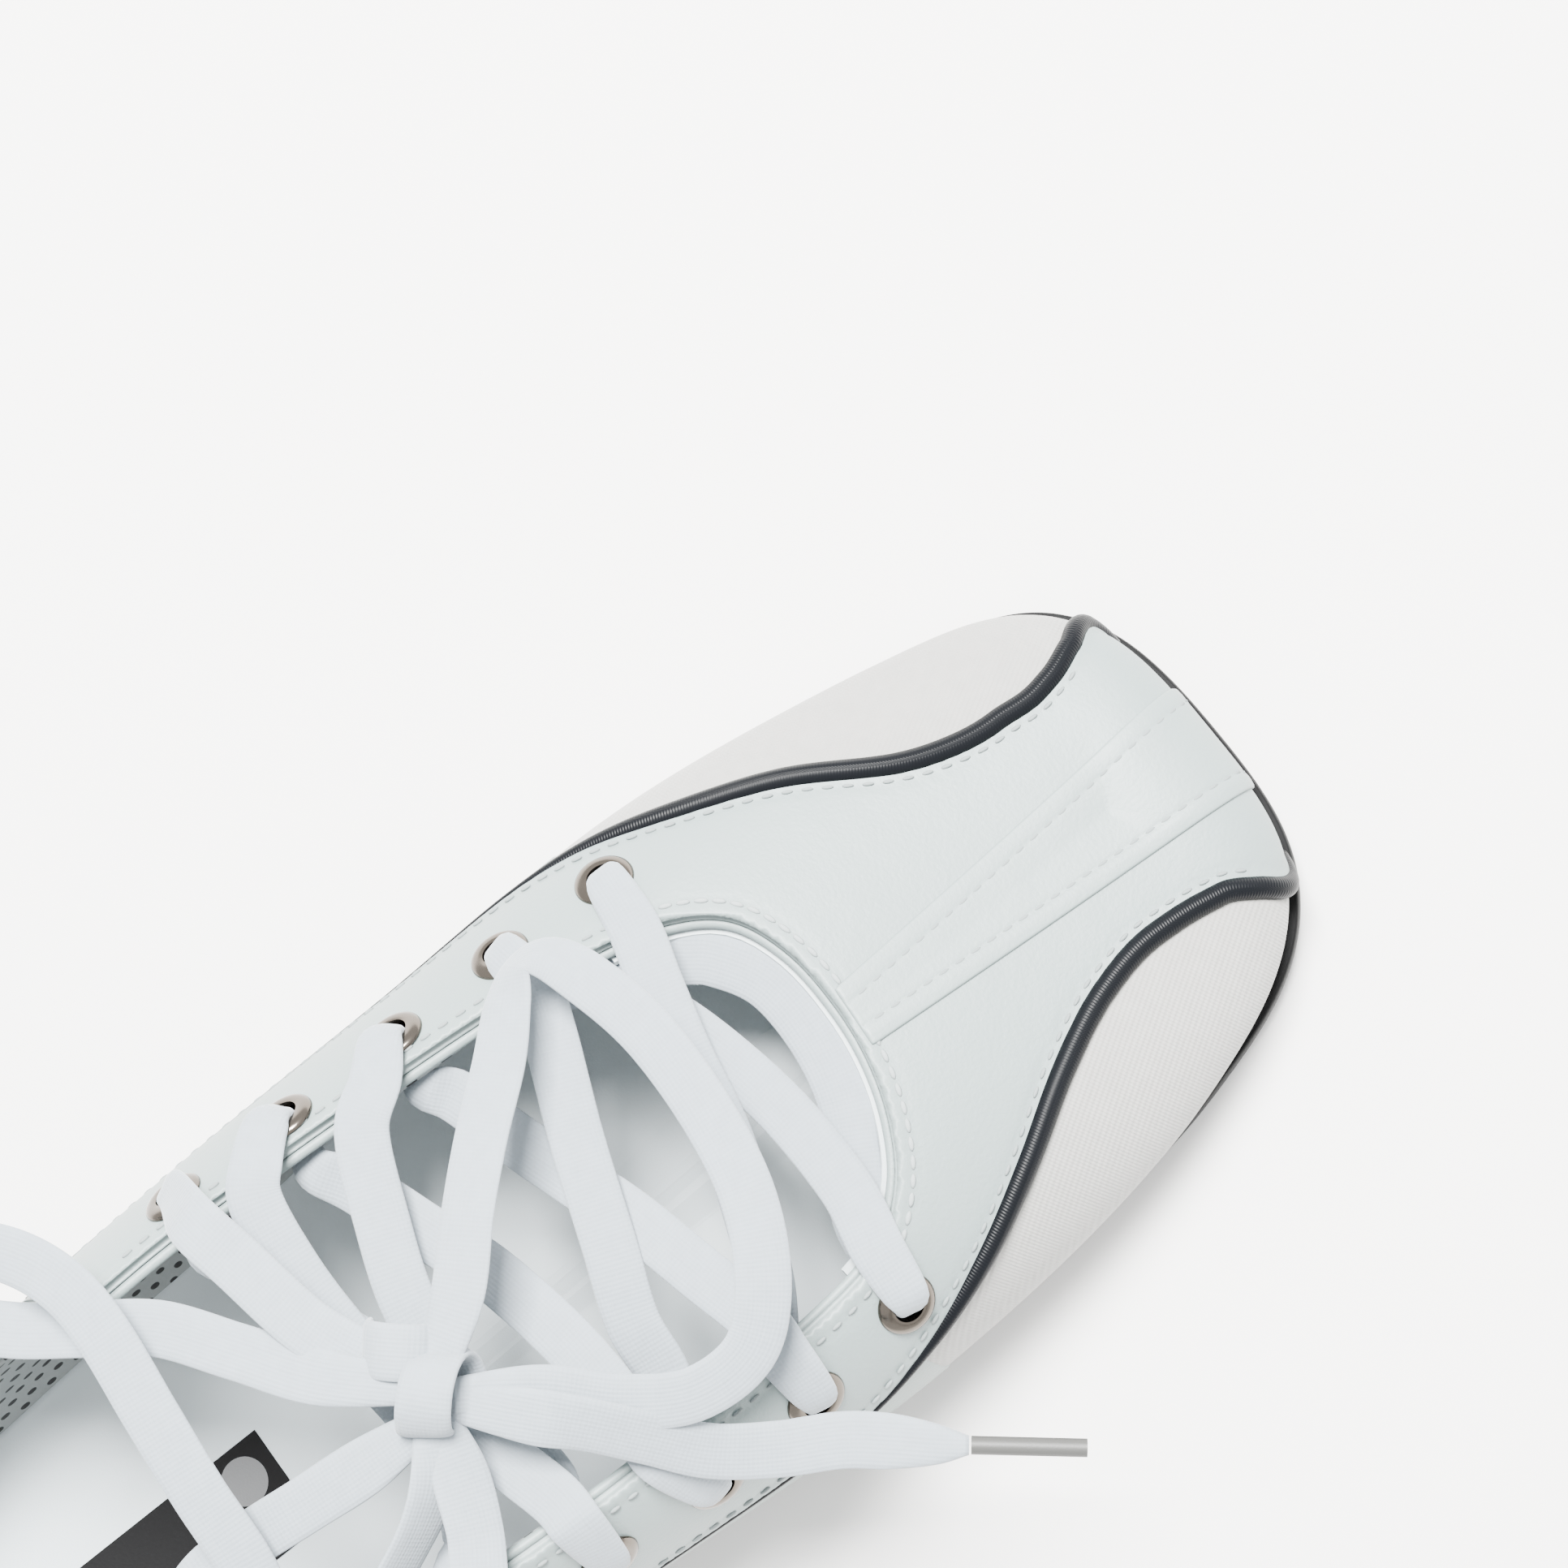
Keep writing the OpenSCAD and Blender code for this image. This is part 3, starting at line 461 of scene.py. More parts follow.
def outward_faces(obj):
    """Turns every face of a closed mesh outward."""
    mesh = bmesh.new()
    mesh.from_mesh(obj.data)
    bmesh.ops.recalc_face_normals(mesh, faces=mesh.faces)
    mesh.to_mesh(obj.data)
    mesh.free()


def tube(name, rings, uv=None):
    """A closed tube through rings of points."""
    count, sides = rings.shape[:2]
    faces = []
    for i in range(count - 1):
        a, b = i * sides, (i + 1) * sides
        faces += [(a + k, a + (k + 1) % sides, b + (k + 1) % sides, b + k) for k in range(sides)]
    faces.append(tuple(range(sides - 1, -1, -1)))
    faces.append(tuple(range((count - 1) * sides, count * sides)))
    return mesh_object(name, rings.reshape(-1, 3), faces, None if uv is None else uv.reshape(-1, 2))


def cord_on_skin(name, points, normals, depth, radius, sides=20):
    """A round cord along surface points; radius is one number or one for each point."""
    p = points + normals * depth
    t = unit(np.gradient(p, axis=0))
    b = np.cross(t, normals)
    w = np.linspace(0, 2 * np.pi, sides, endpoint=False)
    ring = normals[:, None] * np.cos(w)[:, None] + b[:, None] * np.sin(w)[:, None]
    rings = p[:, None] + ring * np.broadcast_to(radius, len(p))[:, None, None]
    uv = np.stack(np.broadcast_arrays(w, walked(p)[:, None]), -1)
    return tube(name, rings, uv)


def even_rows(points, normals, count):
    rows = even(np.concatenate([points, normals], 1), count)
    return rows[:, :3], unit(rows[:, 3:])


def rays(start, end, near, far, middle, bias=1.35, samples=220):
    """A grid from one plan line to another, cut at near mm from the first, far mm from the second,
    and in middle equal steps between. Returns the surface points and their places on the plan."""
    t = np.linspace(0, 1, samples) ** bias
    d = start[:, None] + (end - start)[:, None] * t[:, None]
    p = over(d)
    grid = []
    for line, flat in zip(p, d):
        w = walked(line)
        body = np.linspace(near[-1], w[-1] - far[0], middle + 2)[1:-1]
        at = np.concatenate([near, body, w[-1] - np.asarray(far)])
        grid.append([np.interp(at, w, a) for a in (*line.T, *flat.T)])
    grid = np.array(grid).transpose(0, 2, 1)
    return grid[..., :3], grid[..., 3:]


# ---- materials ----
def new_material(name, color, roughness, **sockets):
    mat = bpy.data.materials.new(name)
    mat.use_nodes = True
    shader = mat.node_tree.nodes["Principled BSDF"]
    shader.inputs["Base Color"].default_value = (*color, 1)
    shader.inputs["Roughness"].default_value = roughness
    for key, value in sockets.items():
        shader.inputs[key.replace("_", " ")].default_value = value
    return mat


def node(mat, kind, **values):
    made = mat.node_tree.nodes.new(kind)
    for key, value in values.items():
        if hasattr(made, key):
            setattr(made, key, value)
        else:
            made.inputs[key.replace("_", " ")].default_value = value
    return made


def link(mat, source, target):
    mat.node_tree.links.new(source, target)


def place_vector(mat, kind):
    """Object puts metres of the row frame on a texture, and UV the piece's own millimetres."""
    return node(mat, "ShaderNodeTexCoord").outputs[kind]


def noise(mat, scale, detail=3.0, kind="Object"):
    made = node(mat, "ShaderNodeTexNoise", Scale=scale, Detail=detail)
    link(mat, place_vector(mat, kind), made.inputs["Vector"])
    return made.outputs["Fac"]


def bump(mat, height, distance, strength=1.0, under=None):
    """A bump from a height signal; distance is its depth in metres. Returns the normal."""
    made = node(mat, "ShaderNodeBump", Strength=strength, Distance=distance)
    link(mat, height, made.inputs["Height"])
    if under is not None:
        link(mat, under, made.inputs["Normal"])
    return made.outputs["Normal"]


def shade(mat):
    return mat.node_tree.nodes["Principled BSDF"]


def tint(mat, fac, low, high, start=0.35, end=0.65):
    """Colours the material from low to high as a signal goes from start to end."""
    ramp = node(mat, "ShaderNodeValToRGB")
    ramp.color_ramp.elements[0].position = start
    ramp.color_ramp.elements[0].color = (*low, 1)
    ramp.color_ramp.elements[1].position = end
    ramp.color_ramp.elements[1].color = (*high, 1)
    link(mat, fac, ramp.inputs["Fac"])
    link(mat, ramp.outputs["Color"], shade(mat).inputs["Base Color"])


def ripple(mat, across, along_mm):
    """A sine signal over the piece's millimetres, with its two wave numbers in waves per mm."""
    dot = node(mat, "ShaderNodeVectorMath", operation="DOT_PRODUCT")
    dot.inputs[1].default_value = (2 * math.pi * across, 2 * math.pi * along_mm, 0)
    link(mat, place_vector(mat, "UV"), dot.inputs[0])
    wave = node(mat, "ShaderNodeMath", operation="SINE")
    link(mat, dot.outputs["Value"], wave.inputs[0])
    return wave.outputs["Value"]


def combine(mat, operation, a, b):
    made = node(mat, "ShaderNodeMath", operation=operation)
    link(mat, a, made.inputs[0])
    link(mat, b, made.inputs[1])
    return made.outputs["Value"]


def white_leather(name, color):
    mat = new_material(name, color, 0.5, Coat_Weight=0.08, Coat_Roughness=0.4)
    darker = tuple(c * 0.965 for c in color)
    tint(mat, noise(mat, 28), darker, color)
    grain = bump(mat, noise(mat, 1500, 6), 0.00012, 0.7)
    soft = bump(mat, noise(mat, 90, 2), 0.0008, 0.3, grain)
    link(mat, soft, shade(mat).inputs["Normal"])
    return mat


def twill(name, color):
    mat = new_material(name, color, 0.85, Sheen_Weight=0.25)
    ribs = ripple(mat, 1.15, 0.75)
    threads = ripple(mat, -0.9, 1.9)
    weave = combine(mat, "ADD", ribs, threads)
    tint(mat, noise(mat, 420, 4), tuple(c * 0.94 for c in color), color)
    fuzz = bump(mat, noise(mat, 5200, 2), 0.00004, 0.6)
    link(mat, bump(mat, weave, 0.00006, 0.6, fuzz), shade(mat).inputs["Normal"])
    return mat


def woven_lace(name, color):
    glow = {"Subsurface_Weight": 0.08, "Subsurface_Radius": (0.001,) * 3}
    mat = new_material(name, color, 0.8, Sheen_Weight=0.3, **glow)
    left = ripple(mat, 0.9, 0.8)
    right = ripple(mat, -0.9, 0.8)
    weave = combine(mat, "MULTIPLY", left, right)
    cords = ripple(mat, 1.25, 0)
    tint(mat, noise(mat, 500, 3), tuple(c * 0.95 for c in color), color)
    fuzz = bump(mat, noise(mat, 6000, 2), 0.00003, 0.6)
    fine = bump(mat, weave, 0.00005, 0.5, fuzz)
    link(mat, bump(mat, cords, 0.00002, 0.25, fine), shade(mat).inputs["Normal"])
    return mat


def perforated(name, color, hole_color):
    """Grey lining cloth with staggered oval holes."""
    mat = new_material(name, color, 0.9)
    rows = ripple(mat, 0.18, 0)
    columns = ripple(mat, 0, 0.26)
    dots = combine(mat, "MULTIPLY", rows, columns)
    tint(mat, dots, color, hole_color, 0.5, 0.62)
    link(mat, bump(mat, noise(mat, 2500, 3), 0.00008, 0.6), shade(mat).inputs["Normal"])
    return mat


def plain_cloth(name, color, roughness=0.85):
    mat = new_material(name, color, roughness)
    link(mat, bump(mat, noise(mat, 3000, 3), 0.00004, 0.5), shade(mat).inputs["Normal"])
    return mat


def satin_binding(name, color):
    mat = new_material(name, color, 0.38, Specular_IOR_Level=0.1)
    threads = bump(mat, ripple(mat, 0.35, 2.4), 0.00003, 0.5)
    link(mat, threads, shade(mat).inputs["Normal"])
    return mat


def rubber(name, color):
    mat = new_material(name, color, 0.6, Specular_IOR_Level=0.12)
    link(mat, bump(mat, noise(mat, 1800, 4), 0.00004, 0.5), shade(mat).inputs["Normal"])
    return mat


def nickel(name, color):
    mat = new_material(name, color, 0.2, Metallic=1.0)
    link(mat, bump(mat, noise(mat, 700, 3), 0.00003, 0.3), shade(mat).inputs["Normal"])
    return mat


LEATHER = white_leather("leather_white", (0.20, 0.245, 0.242))
STRIP_LEATHER = white_leather("leather_strip", (0.21, 0.255, 0.251))
# The quarter leather is a darker, greener copy of the white leather: painted shade for the quarters, which
# lie in shadow under the piping.
SHADED_QUARTER_LEATHER = white_leather("leather_quarter_painted_shade", (0.19, 0.23, 0.22))
# The cream canvas is darkened throughout to stand in for the shade on the lateral side: partly its own cream
# tone, partly painted shade.
CANVAS = twill("canvas_cream", (0.30, 0.295, 0.28))
LACE = woven_lace("lace_white", (0.245, 0.28, 0.31))
LINING = perforated("lining_grey", (0.24, 0.255, 0.255), (0.02, 0.02, 0.02))
VAMP_LINING = plain_cloth("lining_white", (0.50, 0.55, 0.56))
SOCK = plain_cloth("liner_white", (0.46, 0.51, 0.53), 0.6)
LABEL = rubber("label_black", (0.002, 0.002, 0.0023))
LABEL_DISC = plain_cloth("label_disc", (0.09, 0.092, 0.095), 0.5)
PIPING = satin_binding("piping_black", (0.0025, 0.003, 0.004))
RUBBER = rubber("rubber_black", (0.002, 0.0021, 0.0024))
FOAM = rubber("foam_black", (0.003, 0.0031, 0.0034))
METAL = nickel("eyelet_nickel", (0.11, 0.095, 0.08))
AGLET = plain_cloth("aglet_grey", (0.05, 0.05, 0.047), 0.5)
# The stitch thread is greyer than the leather: painted shade of the groove that the stitches sink into.
THREAD = plain_cloth("thread_grey_painted_shade", (0.19, 0.215, 0.215))
BEAD_THREAD = plain_cloth("thread_white", (0.27, 0.30, 0.30))
STIFFENER = plain_cloth("stiffener_tan", (0.20, 0.16, 0.10))
BOARD = plain_cloth("board_brown", (0.16, 0.12, 0.07))


# ---- camera, light and floor ----
CAMERA_AT = (-49.7, 15.8, 455.9)
CAMERA_LOOKS = (0.1836, 0.0803, -0.9797)
CAMERA_UP = (0.7753, -0.6246, 0.0941)
SENSOR = 36
FOCAL = 71.52


def make_camera():
    data = bpy.data.cameras.new("camera")
    data.sensor_width = SENSOR
    data.lens = FOCAL
    data.clip_start = 0.01
    camera = bpy.data.objects.new("camera", data)
    looks = Vector(CAMERA_LOOKS).normalized()
    right = looks.cross(Vector(CAMERA_UP)).normalized()
    up = right.cross(looks)
    turn = Matrix((right, up, -looks)).transposed().to_4x4()
    camera.matrix_world = Matrix.Translation(placed(CAMERA_AT)) @ turn
    bpy.context.scene.collection.objects.link(camera)
    bpy.context.scene.camera = camera


def area_light(name, at, size, power, color):
    data = bpy.data.lights.new(name, "AREA")
    data.size = size
    data.energy = power
    data.color = color
    light = bpy.data.objects.new(name, data)
    light.location = at
    light.rotation_euler = (-Vector(at)).to_track_quat("-Z", "Y").to_euler()
    bpy.context.scene.collection.objects.link(light)


def make_studio():
    """A soft key from the side that the photo shows, bright even fill and a pale floor."""
    area_light("key", (0.42, -0.34, 1.25), 0.5, 150, (1, 0.995, 0.985))
    world = bpy.data.worlds.new("studio")
    world.use_nodes = True
    world.node_tree.nodes["Background"].inputs["Color"].default_value = (0.985, 0.995, 1, 1)
    world.node_tree.nodes["Background"].inputs["Strength"].default_value = 2.3
    bpy.context.scene.world = world
    bpy.ops.mesh.primitive_plane_add(size=8, location=(0, 0, 0))
    floor = bpy.context.object
    floor.name = "floor"
    floor.data.materials.append(new_material("floor_white", (0.78, 0.77, 0.755), 0.9))


# ---- sole ----
SOLE_EDGE = [(0, 1.4), (12, 1.1), (30, 0), (60, -1.6), (110, -3.4), (160, -5), (205, -2.4), (252, 0.4)]
SPRING_FROM = 42
SPRING_REACH = 660
OUTSOLE_T = 5.5
WEDGE_FROM = 95
BOARD_T = 1.8
LINER_T = 2.5
# Share of the feather edge's inset that is left at the height of the liner
LINER_TUCK = 0.4
SKIN_BUILD = 4.2


def around(far, count=240):
    """Plan points round the last, far mm outside its widest line."""
    half = np.linspace(0, 1, count)
    parts = []
    for side, u in ((MEDIAL, half[:-1]), (LATERAL, half[:0:-1])):
        o = outline(u, side)
        parts.append(o - unit(ridge(u) - o) * smooth(far, o[:, 1])[:, None])
    return np.concatenate(parts)


def loft(name, rings, material, nodes=()):
    """A closed solid through rings of the same number of points, capped at both ends."""
    rings = np.array(rings)
    count, sides = rings.shape[:2]
    faces = []
    for i in range(count - 1):
        a, b = i * sides, (i + 1) * sides
        faces += [(a + (k + 1) % sides, a + k, b + k, b + (k + 1) % sides) for k in range(sides)]
    faces.append(tuple(range(sides)))
    faces.append(tuple(range(count * sides - 1, (count - 1) * sides - 1, -1)))
    obj = mesh_object(name, rings.reshape(-1, 3), faces)
    for face in obj.data.polygons[-2:]:
        face.use_smooth = False
    return show(obj, material, nodes)


def sole_slab(name, shift, low, high, material, nodes, rounding=0.6):
    """A sole layer; low and high give its lower and upper height at each distance from the toe."""
    rings = []
    for k in range(7):
        w = math.pi * k / 6
        tuck = rounding * (1 - math.sin(w))
        line = around([(s, far + shift - tuck) for s, far in SOLE_EDGE])
        y = line[:, 1]
        share_up = 0.5 - 0.5 * math.cos(w)
        z = low(y) + (high(y) - low(y)) * share_up
        rings.append(np.column_stack([line, z]))
    return loft(name, rings, material, nodes)


def feather(y):
    return smooth(FEATHER_Z, y)


def make_sole():
    def spring(y):
        return np.where(y < SPRING_FROM, (SPRING_FROM - y) ** 2 / SPRING_REACH, 0)

    def outsole_top(y):
        return np.where(y < WEDGE_FROM, feather(y), OUTSOLE_T) - 0.05

    def wedge_low(y):
        return np.minimum(feather(y) - 0.4, OUTSOLE_T)

    sole_slab("outsole_rubber", 0, spring, outsole_top, RUBBER, ["outsole"])
    sole_slab("midsole_foam", -0.4, wedge_low, lambda y: feather(y) - 0.05, FOAM, ["midsole"])


def make_sock_liner():
    """The liner's edge turns up a little where it meets the lining."""
    inset = [(s, -inside * LINER_TUCK - SKIN_BUILD) for s, inside in FEATHER_IN]
    edge = around(inset, 160)
    spine = np.column_stack([smooth(RIDGE_X, edge[:, 1]) * 0.3, np.clip(edge[:, 1], 24, LAST_L - 40)])
    rings = []
    steps = [(1, -LINER_T), (1, 0.5), (0.985, 1), (0.96, 0.7), (0.9, 0.25), (0.8, 0.05), (0.5, 0), (0.2, 0)]
    for f, up in steps:
        flat = spine + (edge - spine) * f
        z = feather(flat[:, 1]) + BOARD_T + LINER_T + up
        rings.append(np.column_stack([flat, z]))
    loft("sock_liner_cloth", rings, SOCK, ["sock_liner"])


LABEL_W = 17
LABEL_FROM = 172
LABEL_L = 52


def liner_patch(name, outline_points, height, material, nodes=()):
    p = np.array(outline_points)
    z = feather(p[:, 1]) + BOARD_T + LINER_T + height
    rings = [np.column_stack([p, z - 0.15]), np.column_stack([p, z])]
    loft(name, rings, material, nodes)


def make_label():
    x = MIDDLE[0]
    w = LABEL_W / 2
    end = LABEL_FROM + LABEL_L
    corners = [(x - w, LABEL_FROM), (x - w, end), (x + w, end), (x + w, LABEL_FROM)]
    liner_patch("sock_label_print", corners, 0.2, LABEL, ["sock_label"])
    turns = np.linspace(0, 2 * np.pi, 40, endpoint=False)
    disc = [(x + 3.4 - 3.6 * math.sin(w), LABEL_FROM + 5.6 + 3.6 * math.cos(w)) for w in turns]
    liner_patch("sock_label_disc", disc, 0.26, LABEL_DISC)


# ---- upper ----
PIPING_R = [(0, 1.65), (66, 1.65), (92, 0.8), (180, 0.7)]
NEAR_EDGE = [0, 0.3, 0.7, 1.1, 1.5, 1.9, 2.2, 2.5, 2.8, 3.1, 3.6]
TOE_CORNER_M = 2.0
TOE_CORNER_L = 2.5


# Stitch rows lie this far inside a leather edge
MARGIN = 2.5
BEADS_END = 78
BACK_TACK = 158
EYELET_CUT_R = 2.9


def edge_bulge(near, middle, first, last):
    """Puffed margins outside a sunk stitch line, on the two edges of a grid."""
    near = np.array(near)
    rise = 0.22 * np.sin(np.pi * np.clip(near / MARGIN, 0, 1))
    puff = rise - 0.16 * np.exp(-(((near - MARGIN) / 0.3) ** 2))
    return np.concatenate([puff * first, np.zeros(middle), puff[::-1] * last])


def seam(side, start, end, count=400):
    """(share, side, climb) along the seam between the vamp and the side panels."""
    u = np.linspace(share(start), share(end), count)
    return u, np.full(count, side), smooth(edge_table(side), station(u))


def margin_rise(distance, height, sink):
    """A puffed margin outside a sunk stitch line."""
    puff = height * np.sin(np.pi * np.clip(distance / MARGIN, 0, 1))
    return puff - sink * np.exp(-(((distance - MARGIN) / 0.45) ** 2))


def make_vamp():
    toe = np.linspace(0, 1, 40)
    medial_tip, lateral_tip = share(TOE_CORNER_M), share(TOE_CORNER_L)
    throat = even(curve(THROAT), 300)
    loop = np.concatenate([
        unrolled(*seam(MEDIAL, FACING_END, TOE_CORNER_M)),
        unrolled(medial_tip * (1 - toe), np.full(40, MEDIAL), 0 * toe)[1:],
        unrolled(lateral_tip * toe, np.full(40, LATERAL), 0 * toe)[1:],
        unrolled(*seam(LATERAL, TOE_CORNER_L, FACING_END))[1:],
        unrolled(*seat(throat))[::-1],
    ])
    piped = np.concatenate([skin(*seam(side, 3, FACING_END)) for side in (MEDIAL, LATERAL)])
    edge = over(throat)

    def puff(p):
        return margin_rise(nearest(p, piped), 0.2, 0.2) + margin_rise(nearest(p, edge), 0.12, 0.16)

    holes = [over(np.array(e)) for e in EYELETS_MEDIAL + EYELETS_LATERAL]
    obj = patch("vamp_leather", even_loop(loop, 0.8), -LEATHER_T, 0, 0.75, puff, holes, EYELET_CUT_R)
    show(obj, LEATHER, ["vamp"])
    for side, name in ((MEDIAL, "medial"), (LATERAL, "lateral")):
        u, sides, v = seam(side, 6, FACING_END - 3)
        line, normals = skin(u, sides, v), skin_normal(u, sides, v)
        stitch_row(f"stitches_facing_{name}", *inset_line(line, normals, MARGIN * side), THREAD, 2.8)
    line, normals = inset_line(edge, outward(throat), MARGIN * 0.9)
    front = throat[:, 1] < BEADS_END
    bead = {"length": 2.0, "width": 0.85, "height": 0.36}
    stitch_row("stitches_throat", line[front], normals[front], BEAD_THREAD, 2.4, **bead)
    for name, arm in (("medial", throat[:, 0] > 0), ("lateral", throat[:, 0] < 0)):
        arm = arm & ~front & (throat[:, 1] < BACK_TACK)
        stitch_row(f"stitches_throat_{name}", line[arm], normals[arm], THREAD, 2.8)


def even_loop(loop, step):
    closed = np.concatenate([loop, loop[:1]])
    return even(closed, int(walked(closed)[-1] / step))[:-1]


def inset_line(points, normals, gap):
    """A line on the surface beside another one, and its outward directions."""
    along = unit(np.gradient(points, axis=0))
    return points + np.cross(normals, along) * gap, normals


def stitch_row(name, line, normals, material, pitch, length=1.7, width=0.6, height=0.3, depth=0.0):
    """Thread stitches as flattened beads along a line on the skin, joined in one mesh."""
    count = int(walked(line)[-1] / pitch)
    at, n = even_rows(line, normals, count)
    t = unit(np.gradient(at, axis=0))
    b = np.cross(n, t)
    rings, sides = 5, 6
    points, faces = [], []
    for p, nn, tt, bb in zip(at[1:-1], n[1:-1], t[1:-1], b[1:-1]):
        start = len(points)
        for i in range(rings):
            w = math.pi * (i + 0.5) / rings
            for k in range(sides):
                a = 2 * math.pi * k / sides
                r = math.sin(w)
                points.append(
                    p + nn * depth - tt * math.cos(w) * length / 2
                    + bb * math.cos(a) * r * width / 2 + nn * math.sin(a) * r * height
                )
        faces += [
            (start + i * sides + k, start + i * sides + (k + 1) % sides,
             start + (i + 1) * sides + (k + 1) % sides, start + (i + 1) * sides + k)
            for i in range(rings - 1) for k in range(sides)
        ]
        faces.append(tuple(start + k for k in range(sides - 1, -1, -1)))
        faces.append(tuple(start + (rings - 1) * sides + k for k in range(sides)))
    obj = mesh_object(name, np.array(points), faces)
    return show(obj, material)


def make_strip():
    ends = [(8.8, -3.4), (1.8, 61.5)], [(-9.2, -3.4), (-6.9, 62.0)]
    lines = [even(np.array(e), 150) for e in ends]
    middle = 8
    p, flat = rays(lines[0], lines[1], NEAR_EDGE, NEAR_EDGE[::-1], middle, bias=1)
    bulge = edge_bulge(NEAR_EDGE, middle, 0.3, 0.6) * np.ones((len(p), 1))
    obj = shell("centre_strip_leather", p, -0.2, 0.6, flat, bulge=bulge)
    show(obj, STRIP_LEATHER, ["centre_strip"])
    sewn = NEAR_EDGE.index(MARGIN)
    for name, line in (("medial", p[:, sewn]), ("lateral", p[:, -1 - sewn])):
        stitch_row(f"stitches_strip_{name}", line[4:], outward(line[4:, :2]), THREAD, 2.7, depth=0.45)


def make_canvas(side, name):
    corner = TOE_CORNER_M if side > 0 else TOE_CORNER_L
    top = even(edge_line(side, corner + 0.25, PANEL_END + 3, 300), 220)
    bottom = even(feather_line(side, corner + 0.5, PANEL_END + 3, 200), 220)
    p, flat = rays(bottom, top, [0, 0.6, 1.2], [1.2, 0.6, 0], 34, bias=1)
    obj = shell(f"canvas_{name}_twill", p, -LEATHER_T, -0.35, flat)
    show(obj, CANVAS, [f"canvas_{name}"])


def make_quarter(side, name):
    """Leather behind the canvas, up to the facing seam and the collar."""
    s = LAST_L - (LAST_L - PANEL_END) * np.linspace(1, 0, 240) ** 1.6
    top = smooth(edge_table(side), s)
    v = top[:, None] * np.linspace(0, 1, 44)
    p = skin(share(s)[:, None], side, v)
    uv = np.stack([s[:, None] + 0 * v, v * 60], -1)
    obj = shell(f"quarter_{name}_leather", p, -LEATHER_T, -0.15, uv)
    show(obj, SHADED_QUARTER_LEATHER, [f"quarter_{name}"])


def piping_rows(side, start, end, count=400):
    u = np.linspace(share(start), share(end), count)
    v = smooth(edge_table(side), station(u))
    return skin(u, side, v), skin_normal(u, np.full(count, side), v)


def make_piping(side, name):
    corner = TOE_CORNER_M if side > 0 else TOE_CORNER_L
    points, normals = even_rows(*piping_rows(side, corner + 0.1, FACING_END - 1), 420)
    obj = cord_on_skin(f"piping_{name}_satin", points, normals, -0.35, smooth(PIPING_R, points[:, 1]))
    show(obj, PIPING, [f"piping_{name}"])


def make_linings():
    for side, name in ((MEDIAL, "medial"), (LATERAL, "lateral")):
        table = [(86, 0.68), (120, 0.68), (158, 0.66), (170, 0.5), (182, 0.4), (200, 0.41), (252, 0.54)]
        s = LAST_L - (LAST_L - 84) * np.linspace(1, 0, 200) ** 1.6
        v = 0.02 + (smooth(table, s)[:, None] - 0.02) * np.linspace(0, 1, 40)
        p = skin(share(s)[:, None], side, v)
        uv = np.stack([walked(p[:, 20])[:, None] + 0 * v, v * 75], -1)
        obj = shell(f"quarter_lining_{name}_cloth", p, -4.2, -3.3, uv)
        show(obj, LINING, [f"quarter_lining_{name}"])


def make_bindings():
    throat = even(curve(THROAT), 420)
    obj = cord_on_skin("facing_binding_roll", over(throat), outward(throat), -2.4, 0.75, 14)
    show(obj, LEATHER, ["facing_binding"])
    u = np.linspace(share(180), 1, 200)
    places = [(u, MEDIAL), (u[::-1], LATERAL)]
    points = np.concatenate([skin(u, side, smooth(EDGE_MEDIAL, station(u))) for u, side in places])
    normals = np.concatenate([
        skin_normal(u, np.full(len(u), side), smooth(EDGE_MEDIAL, station(u))) for u, side in places
    ])
    points, normals = even_rows(points, normals, 300)
    obj = cord_on_skin("collar_binding_roll", points, normals, -1.9, 1.7, 16)
    show(obj, LEATHER, ["collar_binding"])


def make_backstay():
    u = np.concatenate([np.linspace(share(246), 1, 16), np.linspace(1, share(246), 16)[1:]])
    side = np.concatenate([np.full(16, MEDIAL), np.full(15, LATERAL)])
    v = np.linspace(0.03, 0.5, 40)
    p = skin(u[:, None], side[:, None], v[None])
    uv = np.stack(np.broadcast_arrays(np.arange(len(u))[:, None] * 1.0, v[None] * 60), -1)
    obj = shell("backstay_leather", p, -0.2, 0.7, uv)
    show(obj, LEATHER, ["backstay"])


# ---- lace ----
BUNCHED = (4.3, 2.8)
FOLDED = (6.2, 1.7)
GATHERED = (4.8, 2.0)
WIDE = (LACE_W, LACE_T)
FACING_M = 30
FACING_L = -33


def headed(rows, first, last):
    """Adds to each row the level direction that it heads for; the ends in the eyelets take the ones given."""
    rows = np.array(rows, float)
    heading = unit(np.gradient(rows[:, :2], axis=0))
    if first is not None:
        heading[:3] = first
    if last is not None:
        heading[-3:] = last
    return np.column_stack([rows, heading])


